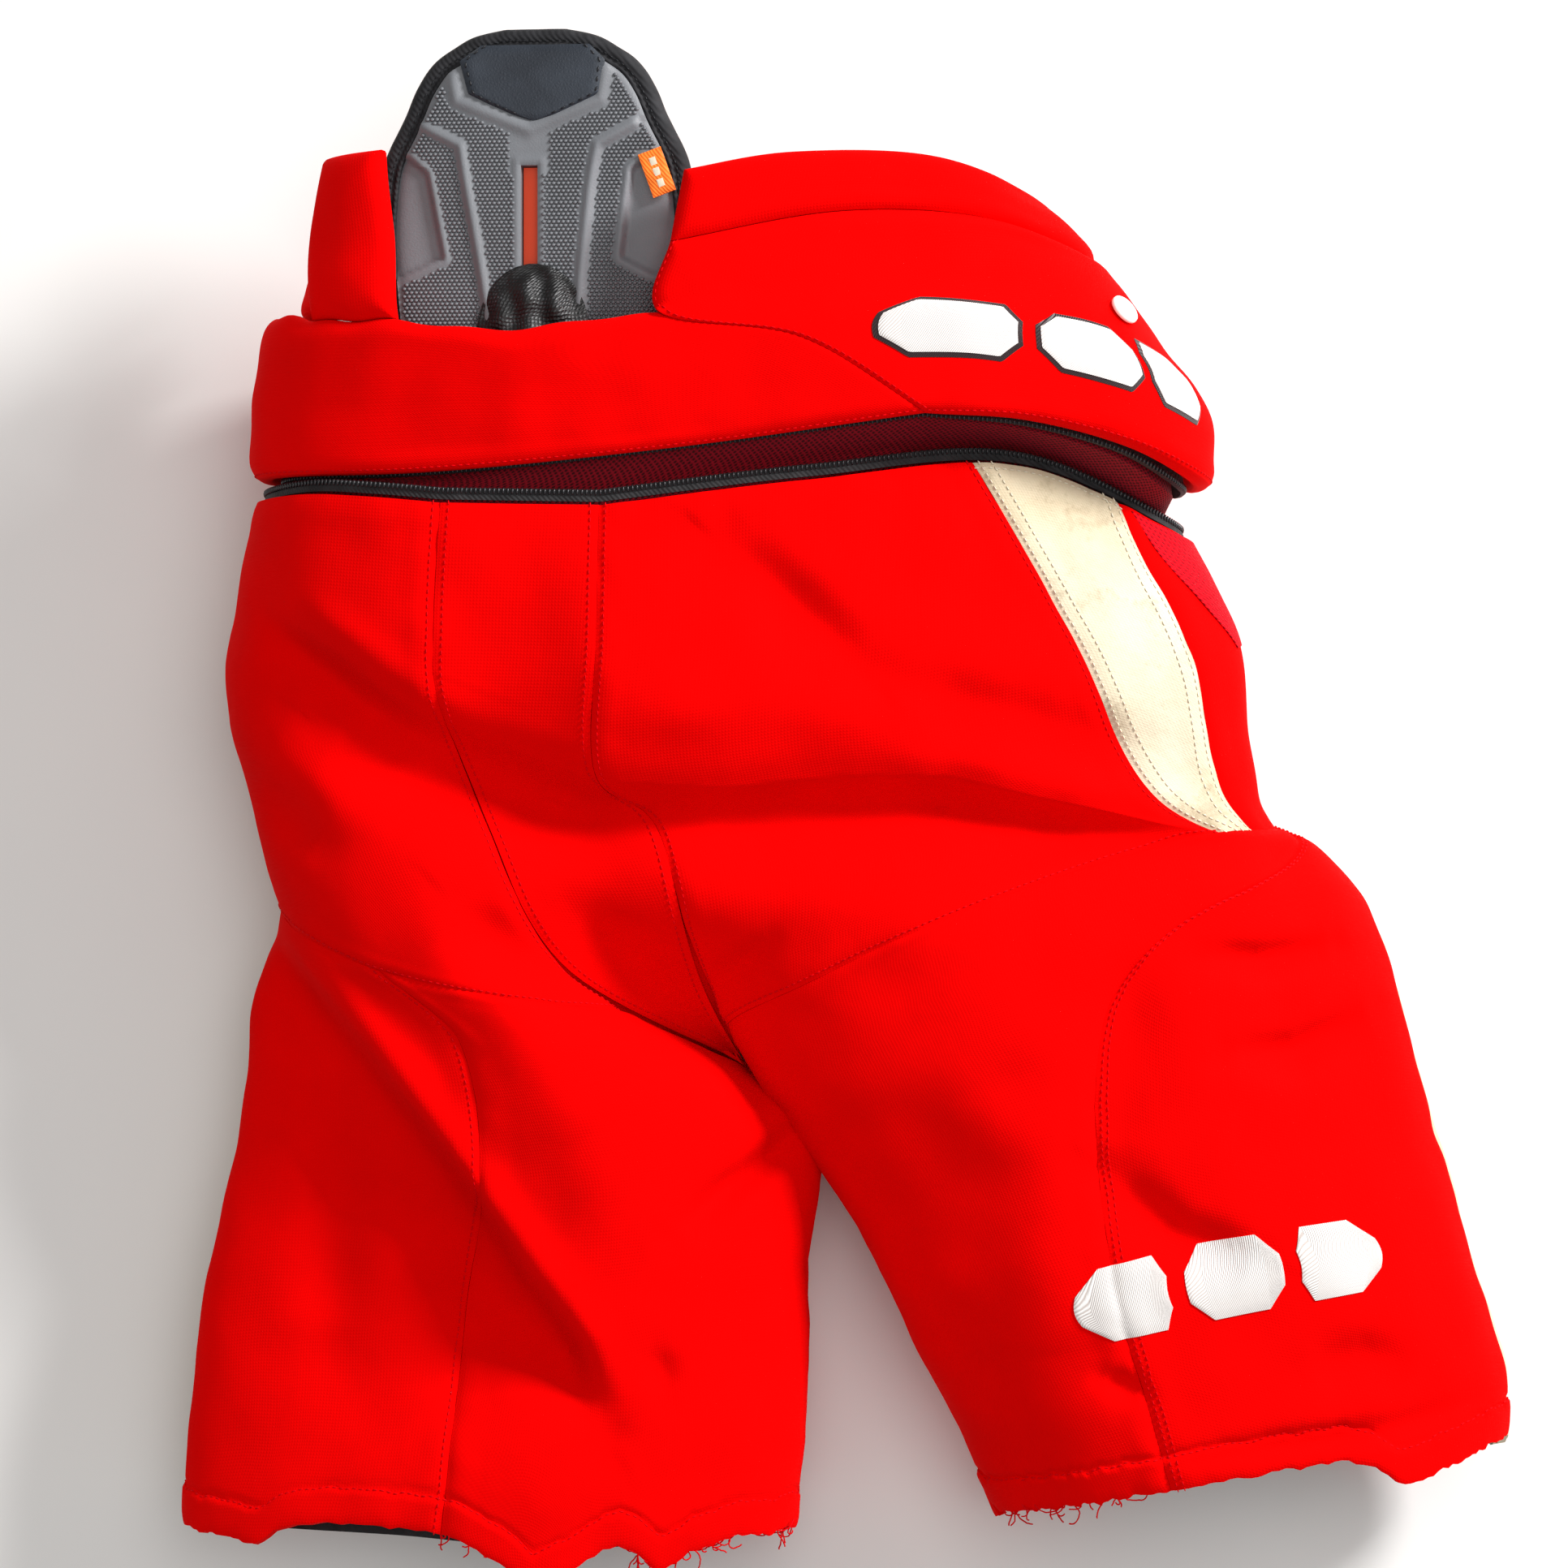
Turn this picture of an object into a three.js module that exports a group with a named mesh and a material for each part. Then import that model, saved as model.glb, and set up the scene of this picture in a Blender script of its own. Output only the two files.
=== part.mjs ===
// Ice hockey pants, laid on their front so that the back faces up.
// Frame: X across the body (the wearer's right is +X), Y from the legs to the waist, Z up off the surface they lie on.
// Origin: bottom centre of the whole object. Units: millimetres.
import * as THREE from "three";

// ---------- driving dimensions ----------
const FACE_CLOTH = 4; // nylon face with its thin foam backing, on the seat and the legs
const WAIST_PAD = 13; // padded cloth of the waist band and wings
const LINER_CLOTH = 1.4;
const LINER_DEPTH = 25; // from the face of a leg to its liner
const GUARD_PLASTIC = 3; // thigh guard shell
const GUARD_FOAM = 9;
const SEAM_GAP = 1.6; // clear space between two panels that are sewn together
const LAYER_GAP = 1.6; // clear space between two layers of one wall
const SEAT_CROWN = 148; // height of the seat over the surface the pants lie on
const WAIST_CROWN = 163;
const SIDE_HEIGHT = 60; // height at which the garment turns under at its sides
const WAIST_SIDE_HEIGHT = 70;
const WAIST_FLOOR = 9; // the front of the waist stands off by the thickness of its buckle
const SIDE_ROUNDING = 0.8; // power of the sine that rounds a side: lower is squarer
const WAIST_ROUNDING = 0.6;

const TAPE_WIDTH = 5.5; // zip tape with its coil
const TAPE_THICK = 2;
const TAPE_RISE = 1.6; // how far the lower tape stands above the seat's edge
const TAPE_LIFT = 3; // how far the tape sits inside the face of the garment

const GUARD_THICK = 13; // spine guard foam
const GUARD_CENTRE_X = -144;
const GUARD_HINGE_Y = 172;
const GUARD_UNDER = 16; // clear space between the waist band and the guard at its hinge
const GUARD_HEIGHT = WAIST_CROWN - WAIST_PAD - GUARD_UNDER - GUARD_THICK;
const GUARD_TILT = 0.1; // radians it leans with the wrap of the waist
const BINDING_WIDTH = 9;
const BINDING_THICK = 6;
const BINDING_RISE = 3;
const SLOT_X = -2;
const SLOT_WIDTH = 7.5;
const SLOT_LENGTH = 62;
const SLOT_TOP_Y = 293;
const TRIM_THICK = 1.2; // patch, sleeve and tag on the guard
const TAG_TURN = 0.35;
const FIT = 0.4; // clearance round inserts, mouldings, marks and sliders

const BUTTON_RADIUS = 7.5;
const BUTTON_THICK = 3;
const WEBBING_THICK = 2;
const BUCKLE_LENGTH = 30; // socket
const BUCKLE_WIDTH = 32;
const BUCKLE_THICK = 7;
const BUCKLE_FLOOR = 0.8;
const MARK_THICK = 1.2; // embroidered mark
const SLIDER_U = 1.93; // where on the front of the left side the zip slider stands
const SLIDER_LENGTH = 10;
const PULL_LENGTH = 20;

const JOIN_U = 0.36; // where the slanted seam of the waist meets the right seat
const TAPE_CELLS = [14, 16, 8, 7]; // cells of the zip round its four spans

// ---------- colours ----------
const RED = { color: 0xe00808, roughness: 0.72, metalness: 0 };
const WHITE = { color: 0xe9e1cf, roughness: 0.6, metalness: 0 };
const BLACK = { color: 0x101013, roughness: 0.7, metalness: 0 };
const MAROON = { color: 0x6d0814, roughness: 0.85, metalness: 0 };
const GREY = { color: 0x55575a, roughness: 0.6, metalness: 0 };
const ORANGE = { color: 0xf25a12, roughness: 0.5, metalness: 0 };
const FOAM = { color: 0x2a2b2e, roughness: 0.9, metalness: 0 };
const PLASTIC = { color: 0x1b1d22, roughness: 0.45, metalness: 0 };
const METAL = { color: 0x8f9195, roughness: 0.35, metalness: 1 };

const pants = new THREE.Group();

function add(name, geometry, finish) {
  const mesh = new THREE.Mesh(geometry, new THREE.MeshStandardMaterial(finish));
  mesh.name = name;
  pants.add(mesh);
  return mesh;
}

// ---------- curves and skins ----------
const lerp = (a, b, t) => a + (b - a) * t;
const clamp = (x, low, high) => Math.min(Math.max(x, low), high);

function smooth(edge0, edge1, x) {
  const t = clamp((x - edge0) / (edge1 - edge0), 0, 1);
  return t * t * (3 - 2 * t);
}

// A Catmull-Rom curve through points, at t counted in points from the first one. It runs on past both ends.
function spline(points, t) {
  const last = points.length - 1;
  const i = clamp(Math.floor(t), 0, last - 1);
  const f = t - i;
  const at = (k, c) => {
    if (k < 0) return 2 * points[0][c] - points[1][c];
    if (k > last) return 2 * points[last][c] - points[last - 1][c];
    return points[k][c];
  };
  return points[0].map((_, c) => {
    const [a, b, d, e] = [at(i - 1, c), at(i, c), at(i + 1, c), at(i + 2, c)];
    const second = 2 * a - 5 * b + 4 * d - e;
    const third = 3 * b - a - 3 * d + e;
    return b + 0.5 * f * (d - a + f * (second + f * third));
  });
}

const splineOf = (values, t) => spline(values.map((x) => [x]), t)[0];

// Distance from (x, y) to a line of points: signed, positive on its left, and how far along the line the foot is.
function awayFrom(line, x, y) {
  let best = { distance: Infinity, along: 0 };
  for (let i = 0; i + 1 < line.length; i++) {
    const [ax, ay] = line[i];
    const [dx, dy] = [line[i + 1][0] - ax, line[i + 1][1] - ay];
    const t = clamp(((x - ax) * dx + (y - ay) * dy) / (dx * dx + dy * dy), 0, 1);
    const [ox, oy] = [x - ax - t * dx, y - ay - t * dy];
    const distance = Math.hypot(ox, oy);
    if (distance >= Math.abs(best.distance)) continue;
    best = { distance: dx * oy - dy * ox < 0 ? -distance : distance, along: (i + t) / (line.length - 1) };
  }
  return best;
}

// The deep crease under the seat, where the legs fold up against it.
const SEAT_CREASE = [[-276, 95], [-234, 69], [-200, 43], [-162, 29], [-117, 11], [-56, 8], [-6, 13], [44, 13], [84, 4],
  [152, -9], [197, -15]];
const CREASE_DEPTH = 20;
const CREASE_REACH = 42; // how far its slope runs down the leg
// The ridge where the left seat folds over the outer thigh.
const THIGH_RIDGE = [[-267, -51], [-253, -75], [-212, -125], [-166, -189], [-124, -250], [-113, -288]];
const RIDGE_DEPTH = 26;

function foldDepth(x, y) {
  const crease = awayFrom(SEAT_CREASE, x, y);
  const reach = crease.distance > 0 ? CREASE_REACH / 2 : CREASE_REACH;
  const valley = Math.exp(-((crease.distance / reach) ** 2)) * Math.sin(Math.PI * clamp(crease.along, 0.02, 0.98));
  const ridge = awayFrom(THIGH_RIDGE, x, y);
  const step = smooth(4, -24, ridge.distance) * smooth(1, 0.7, ridge.along) * smooth(-50, -90, y);
  return CREASE_DEPTH * valley + RIDGE_DEPTH * step;
}

// A side of the garment as a skin that runs from its inner edge over the back (u 0 to 1) and under the front (u 1 to 2).
// Each line of points crosses it in plan, from the inner edge to the outer one, and v counts those lines. The front may
// have lines of its own, because the pants lie rolled a little to one side.
function skin({ lines, front = lines, crown, inner = 0, side, floor = 0, rounding = SIDE_ROUNDING, folded = false }) {
  const point = (u, v) => {
    const round = Array.isArray(inner) ? clamp(splineOf(inner, v), 0, 1) : inner;
    const start = (Math.PI / 2) * (1 - round);
    const angle = start + (Math.PI - start) * u;
    const above = Math.sin(angle) > 0;
    const plan = above ? lines : front;
    const across = plan[0].map((_, k) => spline(plan.map((line) => line[k]), v));
    const share = (Math.cos(start) - Math.cos(angle)) / (1 + Math.cos(start));
    const [x, y] = spline(across, share * (across.length - 1));
    const top = splineOf(crown, v) - (folded ? foldDepth(x, y) : 0);
    return new THREE.Vector3(x, y, lerp(side, above ? top : floor, Math.abs(Math.sin(angle)) ** rounding));
  };
  const facing = (lines[0].at(-1)[0] > lines[0][0][0] ? -1 : 1) * (lines.at(-1)[0][1] < lines[0][0][1] ? 1 : -1);
  const outward = (u, v) => {
    const step = 0.02;
    const du = point(u + step, v).sub(point(u - step, v));
    const dv = point(u, v + step).sub(point(u, v - step));
    return du.cross(dv).multiplyScalar(facing).normalize();
  };
  return { point, outward };
}

const RIGHT = skin({
  lines: [
    [[-115, 137], [-18, 149], [77, 156], [162, 125]],
    [[-116, 77], [-14, 81], [89, 82], [184, 69]],
    [[-117, 14], [-14, 14], [92, 12], [196, -1]],
    [[-89, -11], [13, -13], [115, -13], [222, -20]],
    [[-66, -89], [32, -70], [138, -56], [248, -54]],
    [[-13, -166], [73, -147], [165, -128], [268, -121]],
    [[24, -239], [104, -223], [195, -204], [288, -193]],
    [[52, -296], [130, -280], [218, -265], [306, -248]],
    [[68, -334], [146, -321], [225, -310], [313, -300]],
  ],
  front: [
    [[68, 137], [102, 148], [136, 148], [162, 125]],
    [[64, 77], [105, 79], [146, 79], [184, 69]],
    [[46, 14], [96, 12], [147, 7], [196, -1]],
    [[5, -35], [78, -28], [150, -22], [222, -20]],
    [[-60, -89], [38, -70], [142, -56], [248, -54]],
    [[-13, -166], [73, -147], [165, -128], [268, -121]],
    [[24, -239], [104, -223], [195, -204], [288, -193]],
    [[52, -296], [130, -280], [218, -265], [306, -248]],
    [[68, -334], [146, -321], [225, -310], [313, -300]],
  ],
  crown: [SEAT_CROWN, SEAT_CROWN + 3, SEAT_CROWN, SEAT_CROWN - 6, 138, 134, 132, 130, 126],
  inner: [0, 0, 0, 0.1, 0.8, 1, 1, 1, 1],
  side: SIDE_HEIGHT,
  folded: true,
});

const LEFT = skin({
  lines: [
    [[-187, 138], [-219, 141], [-250, 143], [-279, 141]],
    [[-190, 84], [-227, 82], [-261, 82], [-293, 84]],
    [[-188, 46], [-225, 43], [-261, 41], [-294, 39]],
    [[-166, -11], [-204, -13], [-242, -13], [-279, -7]],
    [[-132, -75], [-177, -71], [-225, -64], [-267, -51]],
    [[-52, -125], [-120, -117], [-200, -102], [-277, -79]],
    [[-22, -168], [-105, -166], [-196, -155], [-288, -138]],
    [[-19, -235], [-113, -239], [-208, -235], [-301, -223]],
    [[-23, -307], [-120, -311], [-217, -311], [-314, -301]],
    [[-25, -346], [-124, -352], [-223, -344], [-317, -343]],
  ],
  front: [
    [[-2, 137], [-94, 140], [-187, 142], [-279, 141]],
    [[-6, 84], [-102, 84], [-197, 84], [-293, 84]],
    [[-12, 46], [-106, 43], [-200, 41], [-294, 39]],
    [[-35, -11], [-116, -13], [-198, -13], [-279, -7]],
    [[-92, -74], [-150, -71], [-210, -64], [-267, -51]],
    [[-52, -125], [-120, -117], [-200, -102], [-277, -79]],
    [[-22, -168], [-105, -166], [-196, -155], [-288, -138]],
    [[-19, -235], [-113, -239], [-208, -235], [-301, -223]],
    [[-23, -307], [-120, -311], [-217, -311], [-314, -301]],
    [[-25, -346], [-124, -352], [-223, -344], [-317, -343]],
  ],
  crown: [SEAT_CROWN, SEAT_CROWN, SEAT_CROWN - 2, SEAT_CROWN - 10, 130, 124, 122, 120, 118, 116],
  inner: [0, 0, 0, 0.1, 0.6, 1, 1, 1, 1, 1],
  side: SIDE_HEIGHT,
  folded: true,
});

// The waist runs from a slanted seam at the back out to each side and round to the fly. Its lines go up.
const WAIST = {
  side: WAIST_SIDE_HEIGHT,
  floor: WAIST_FLOOR,
  rounding: WAIST_ROUNDING,
  crown: [WAIST_CROWN, WAIST_CROWN],
};
const WAIST_SEAM = [[33, 178], [-24, 212], [-87, 223], [-82, 257], [-76, 288]];

const BAND = skin({
  lines: [
    [WAIST_SEAM[0], [-82, 162], [-193, 152], [-280, 152]],
    [WAIST_SEAM[1], [-115, 190], [-200, 187], [-277, 190]],
    [WAIST_SEAM[2], [-147, 217], [-210, 220], [-272, 227]],
    [WAIST_SEAM[3], [-145, 262], [-208, 262], [-262, 262]],
    [WAIST_SEAM[4], [-150, 300], [-205, 300], [-250, 300]],
  ],
  front: [
    [[5, 160], [-90, 155], [-187, 152], [-280, 152]],
    [[5, 205], [-90, 197], [-185, 191], [-277, 190]],
    [[5, 235], [-88, 232], [-180, 230], [-272, 227]],
    [[5, 262], [-84, 262], [-173, 262], [-262, 262]],
    [[5, 300], [-80, 300], [-165, 300], [-250, 300]],
  ],
  ...WAIST,
});

const WING = skin({
  lines: [
    [WAIST_SEAM[0], [81, 176], [130, 165], [171, 149]],
    [WAIST_SEAM[1], [47, 214], [115, 202], [166, 181]],
    [WAIST_SEAM[2], [1, 240], [85, 236], [142, 215]],
    [WAIST_SEAM[3], [-6, 271], [62, 270], [116, 255]],
    [WAIST_SEAM[4], [-25, 297], [39, 297], [87, 283]],
  ],
  front: [
    [[62, 165], [100, 170], [137, 164], [171, 149]],
    [[62, 208], [98, 206], [133, 198], [166, 181]],
    [[62, 240], [90, 237], [117, 229], [142, 215]],
    [[62, 262], [80, 263], [98, 261], [116, 255]],
    [[62, 285], [70, 287], [79, 286], [87, 283]],
  ],
  ...WAIST,
});

// The skin that lies a depth inside a closed leg, of the same shape.
function nested(on, depth) {
  const point = (u, v) => {
    const [inside, outside] = [on.point(0, v), on.point(1, v)];
    const centre = inside.clone().add(outside).divideScalar(2);
    const half = outside.sub(inside).divideScalar(2).setZ(0);
    const reach = half.length();
    const p = on.point(u, v).sub(centre);
    const sideways = p.dot(half) / reach ** 2;
    const height = Math.abs(on.point(u < 1 ? 0.5 : 1.5, v).z - centre.z);
    p.addScaledVector(half, (-sideways * depth) / reach);
    p.z -= (p.z / height) * depth;
    return p.add(centre);
  };
  return { point, outward: on.outward };
}

// The left hip wing stands inside the band, below the kidney wing.
const HIP_WING = skin({
  lines: [
    [[-205, 231], [-225, 231], [-246, 231], [-262, 231]],
    [[-208, 248], [-225, 249], [-243, 249], [-256, 248]],
    [[-212, 264], [-225, 265], [-238, 265], [-249, 263]],
  ],
  crown: [98, 98, 96],
  side: 52,
  floor: WAIST_FLOOR + WAIST_PAD + LAYER_GAP,
});

// ---------- solids ----------
// A closed solid between two grids of points that face each other.
function between(outer, inner) {
  const [rows, columns] = [outer.length, outer[0].length];
  const positions = [...outer.flat(), ...inner.flat()].flatMap((p) => [p.x, p.y, p.z]);
  const at = (layer, i, j) => layer * rows * columns + i * columns + j;
  const faces = [];
  const quad = (a, b, c, d) => faces.push(a, b, c, a, c, d);
  for (let i = 0; i + 1 < rows; i++)
    for (let j = 0; j + 1 < columns; j++) {
      quad(at(0, i, j), at(0, i + 1, j), at(0, i + 1, j + 1), at(0, i, j + 1));
      quad(at(1, i, j), at(1, i, j + 1), at(1, i + 1, j + 1), at(1, i + 1, j));
    }
  for (let i = 0; i + 1 < rows; i++) {
    quad(at(0, i, 0), at(1, i, 0), at(1, i + 1, 0), at(0, i + 1, 0));
    quad(at(0, i + 1, columns - 1), at(1, i + 1, columns - 1), at(1, i, columns - 1), at(0, i, columns - 1));
  }
  for (let j = 0; j + 1 < columns; j++) {
    quad(at(0, 0, j + 1), at(1, 0, j + 1), at(1, 0, j), at(0, 0, j));
    quad(at(0, rows - 1, j), at(1, rows - 1, j), at(1, rows - 1, j + 1), at(0, rows - 1, j + 1));
  }
  const corner = (k) => new THREE.Vector3().fromArray(positions, 3 * faces[k]);
  let volume = 0;
  for (let k = 0; k < faces.length; k += 3) volume += corner(k).dot(corner(k + 1).cross(corner(k + 2)));
  if (volume < 0) faces.reverse();
  const geometry = new THREE.BufferGeometry();
  geometry.setAttribute("position", new THREE.Float32BufferAttribute(positions, 3));
  geometry.setIndex(faces);
  geometry.computeVertexNormals();
  return geometry;
}

// A panel of a skin, of even thickness. from and to are its side edges in u, listed down the panel, and v is its span
// of lines. Two panels that share an edge stay a seam gap apart.
function panel(name, finish, on, { from, to, v, depth = 0, thick = FACE_CLOTH, cells, gap = SEAM_GAP }) {
  const [across, down] = cells;
  const edge = (list, t) => (list.length > 1 ? splineOf(list, t * (list.length - 1)) : list[0]);
  const spot = (s, t) => [lerp(edge(from, t), edge(to, t), s), lerp(v[0], v[1], t)];
  const at = (s, t) => on.point(...spot(s, t));
  const [outer, inner] = [[], []];
  for (let j = 0; j <= down; j++) {
    const [rowOut, rowIn] = [[], []];
    for (let i = 0; i <= across; i++) {
      const [s, t] = [i / across, j / down];
      const ds = at(s + 0.01, t).sub(at(s - 0.01, t)).divideScalar(0.02);
      const dt = at(s, t + 0.01).sub(at(s, t - 0.01)).divideScalar(0.02);
      const area = ds.clone().cross(dt).length();
      const pullS = ((i === 0) - (i === across)) * (gap / 2) * (dt.length() / area);
      const pullT = ((j === 0) - (j === down)) * (gap / 2) * (ds.length() / area);
      const face = at(s + pullS, t + pullT);
      const out = on.outward(...spot(s, t));
      rowOut.push(face.clone().addScaledVector(out, -depth));
      rowIn.push(face.clone().addScaledVector(out, -depth - thick));
    }
    outer.push(rowOut);
    inner.push(rowIn);
  }
  return add(name, between(outer, inner), finish);
}

// A strip sewn between the inner edges of the two sides, u 0 on the back and u 2 on the front. It lists the lines of
// the left and of the right side that its rows join.
function gusset(name, finish, u, { left, right, sag = 0, depth = 0, across = 4 }) {
  const layer = (sunk) =>
    left.map((_, j) => {
      const [a, b] = [LEFT.point(u, left[j]), RIGHT.point(u, right[j])];
      const inset = (SEAM_GAP * 0.75) / a.distanceTo(b);
      return Array.from({ length: across + 1 }, (_, i) => {
        const s = lerp(inset, 1 - inset, i / across);
        const p = a.clone().lerp(b, s);
        p.z -= (u === 0 ? 1 : -1) * (sunk + sag * Math.sin(Math.PI * s));
        return p;
      });
    });
  return add(name, between(layer(depth), layer(depth + FACE_CLOTH)), finish);
}

// A line of points round the waist, from the left of the fly over the back to the right of it, along the lower edge of
// the two skins. It lies rise above that edge and depth inside the face, and runs through n cells on each of its spans.
function roundWaist(left, right, rise, depth, n) {
  const at = (on, u) => {
    const up = on.point(u, 0.01).sub(on.point(u, -0.01)).divideScalar(0.02);
    const v = (Math.sign(up.y) * rise) / up.length();
    return on.point(u, v).addScaledVector(on.outward(u, v), -depth);
  };
  const join = left === BAND ? 0 : JOIN_U;
  const fine = 40;
  const run = (on, a, b) => Array.from({ length: fine + 1 }, (_, i) => at(on, lerp(a, b, i / fine)));
  const spans = [
    run(left, 1.97, 1),
    [...run(left, 1, 0), ...(join ? run(right, 0, join) : [])],
    run(right, join, 1),
    run(right, 1, 1.97),
  ];
  return spans.flatMap((span, k) => evenly(span, n[k]).slice(k ? 1 : 0));
}

function evenly(points, n) {
  const lengths = [0];
  for (let i = 1; i < points.length; i++) lengths.push(lengths[i - 1] + points[i].distanceTo(points[i - 1]));
  return Array.from({ length: n + 1 }, (_, k) => {
    const want = (k / n) * lengths.at(-1);
    const i = clamp(lengths.findIndex((x) => x >= want), 1, points.length - 1);
    const span = lengths[i] - lengths[i - 1];
    return points[i - 1].clone().lerp(points[i], span > 0 ? (want - lengths[i - 1]) / span : 0);
  });
}

function plate(outline, thick, holes = []) {
  const shape = new THREE.Shape(outline.map(([x, y]) => new THREE.Vector2(x, y)));
  for (const hole of holes) shape.holes.push(new THREE.Path(hole.map(([x, y]) => new THREE.Vector2(x, y))));
  return new THREE.ExtrudeGeometry(shape, { depth: thick, bevelEnabled: false });
}

const rectangle = (x0, y0, x1, y1) => [[x0, y0], [x1, y0], [x1, y1], [x0, y1]];

// Puts a mesh on a skin's face, its own +Z out of the cloth and its +Y up the garment, turned by spin.
function mount(mesh, on, u, v, { lift = 0, spin = 0 } = {}) {
  const out = on.outward(u, v);
  const right = new THREE.Vector3(0, 1, 0).cross(out).normalize();
  const up = out.clone().cross(right);
  mesh.quaternion.setFromRotationMatrix(new THREE.Matrix4().makeBasis(right, up, out));
  mesh.rotateZ(spin);
  mesh.position.copy(on.point(u, v).addScaledVector(out, lift));
  return mesh;
}

// ---------- seat: the pants between the waist zip and the legs ----------
const LEG_LINE = 2.8; // where the seat ends and the hip fold starts, counted in lines of each side
const LEG_TOP_RIGHT = 4.25; // where the hip fold ends and the leg starts
const LEG_TOP_LEFT = 4.6;
const HEM_RIGHT = 8;
const HEM_LEFT = 9;
const SEAT_ROWS = 7;

// The side stripe slants outwards: its two edges in u on the back of the right hip, from the zip to the leg line.
const STRIPE_INNER = [0.4, 0.54, 0.7];
const STRIPE_OUTER = [0.65, 0.74, 0.84];

// The tailbone pad hangs under the seat gusset, inside the lining.
const TAILBONE = {
  point: (u, v) => new THREE.Vector3(lerp(-184, -118, u), lerp(122, 52, v), SEAT_CROWN - 14),
  outward: () => new THREE.Vector3(0, 0, 1),
};

function seat() {
  const v = [0, LEG_LINE];
  panel("right_seat_panel", RED, RIGHT, { from: [0], to: STRIPE_INNER, v, cells: [6, SEAT_ROWS] });
  panel("right_hip_stripe", WHITE, RIGHT, { from: STRIPE_INNER, to: STRIPE_OUTER, v, cells: [3, SEAT_ROWS] });
  panel("right_hip_panel", RED, RIGHT, { from: STRIPE_OUTER, to: [1.3], v, cells: [7, SEAT_ROWS] });
  panel("right_front_panel", RED, RIGHT, { from: [1.3], to: [2], v, cells: [5, SEAT_ROWS] });
  panel("left_seat_panel", RED, LEFT, { from: [0], to: [1.04], v, cells: [9, SEAT_ROWS] });
  panel("left_hip_stripe", WHITE, LEFT, { from: [1.04], to: [1.22], v, cells: [3, SEAT_ROWS] });
  panel("left_front_panel", RED, LEFT, { from: [1.22], to: [2], v, cells: [7, SEAT_ROWS] });
  const step = LEG_LINE / SEAT_ROWS;
  const rows = Array.from({ length: SEAT_ROWS + 4 }, (_, j) => j);
  const down = (last) => rows.map((j) => j * step + Math.max(0, j - SEAT_ROWS) * ((last - LEG_LINE) / 3 - step));
  gusset("seat_gusset", RED, 0, { left: down(4.35), right: down(3.95), sag: 3 });
  gusset("fly_gusset", RED, 2, { left: down(4.35), right: down(3.95), depth: 6 });
  const rises = [TAPE_RISE, TAPE_RISE + TAPE_WIDTH];
  const tape = (depth) => rises.map((rise) => roundWaist(LEFT, RIGHT, rise, depth, TAPE_CELLS));
  add("lower_zip_tape", between(tape(TAPE_LIFT), tape(TAPE_LIFT + TAPE_THICK)), BLACK);
  panel("tailbone_pad", FOAM, TAILBONE, { from: [0], to: [1], v: [0, 1], thick: 12, cells: [2, 2] });
  panel("right_hip_fold", RED, RIGHT, {
    from: [0.03], to: [1.97], v: [LEG_LINE, LEG_TOP_RIGHT], depth: 1, thick: 2.5, cells: [20, 4], gap: 3,
  });
  panel("left_hip_fold", RED, LEFT, {
    from: [0.05], to: [1.95], v: [LEG_LINE, LEG_TOP_LEFT], depth: 1, thick: 2.5, cells: [20, 5], gap: 3,
  });
}

// ---------- legs ----------
function leg(side, on, top, hem, { outer, stripe }) {
  const v = [top, hem];
  const rows = 6;
  panel(`${side}_back_thigh`, RED, on, { from: [0], to: outer, v, cells: [7, rows] });
  panel(`${side}_outer_thigh`, RED, on, { from: outer, to: [stripe[0]], v, cells: [6, rows] });
  panel(`${side}_leg_stripe`, WHITE, on, { from: [stripe[0]], to: [stripe[1]], v, cells: [3, rows] });
  panel(`${side}_front_thigh`, RED, on, { from: [stripe[1]], to: [1.86], v, cells: [8, rows] });
  panel(`${side}_inner_thigh`, RED, on, { from: [1.86], to: [2], v, cells: [3, rows] });
  const inside = FACE_CLOTH + 2 * LAYER_GAP;
  const pad = [top + 0.6, hem - 0.35];
  panel(`${side}_thigh_foam`, FOAM, on, {
    from: [1.2], to: [1.72], v: pad, depth: inside, thick: GUARD_FOAM, cells: [8, 5],
  });
  panel(`${side}_thigh_guard`, PLASTIC, on, {
    from: [1.26], to: [1.68], v: pad, depth: inside + GUARD_FOAM + LAYER_GAP, thick: GUARD_PLASTIC, gap: 12,
    cells: [8, 5],
  });
  panel(`${side}_leg_liner`, BLACK, nested(on, LINER_DEPTH), {
    from: [0.08], to: [1.92], v: [top + 0.4, hem - 0.12], thick: LINER_CLOTH, cells: [20, 5],
  });
}

// ---------- waist ----------
// The tongue closes the fly behind the two front belts.
const TONGUE = {
  point: (u, v) => new THREE.Vector3(lerp(-14, 80, u), lerp(177, 242, v), WAIST_FLOOR + WAIST_PAD + LAYER_GAP + 3),
  outward: () => new THREE.Vector3(0, 0, -1),
};

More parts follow.
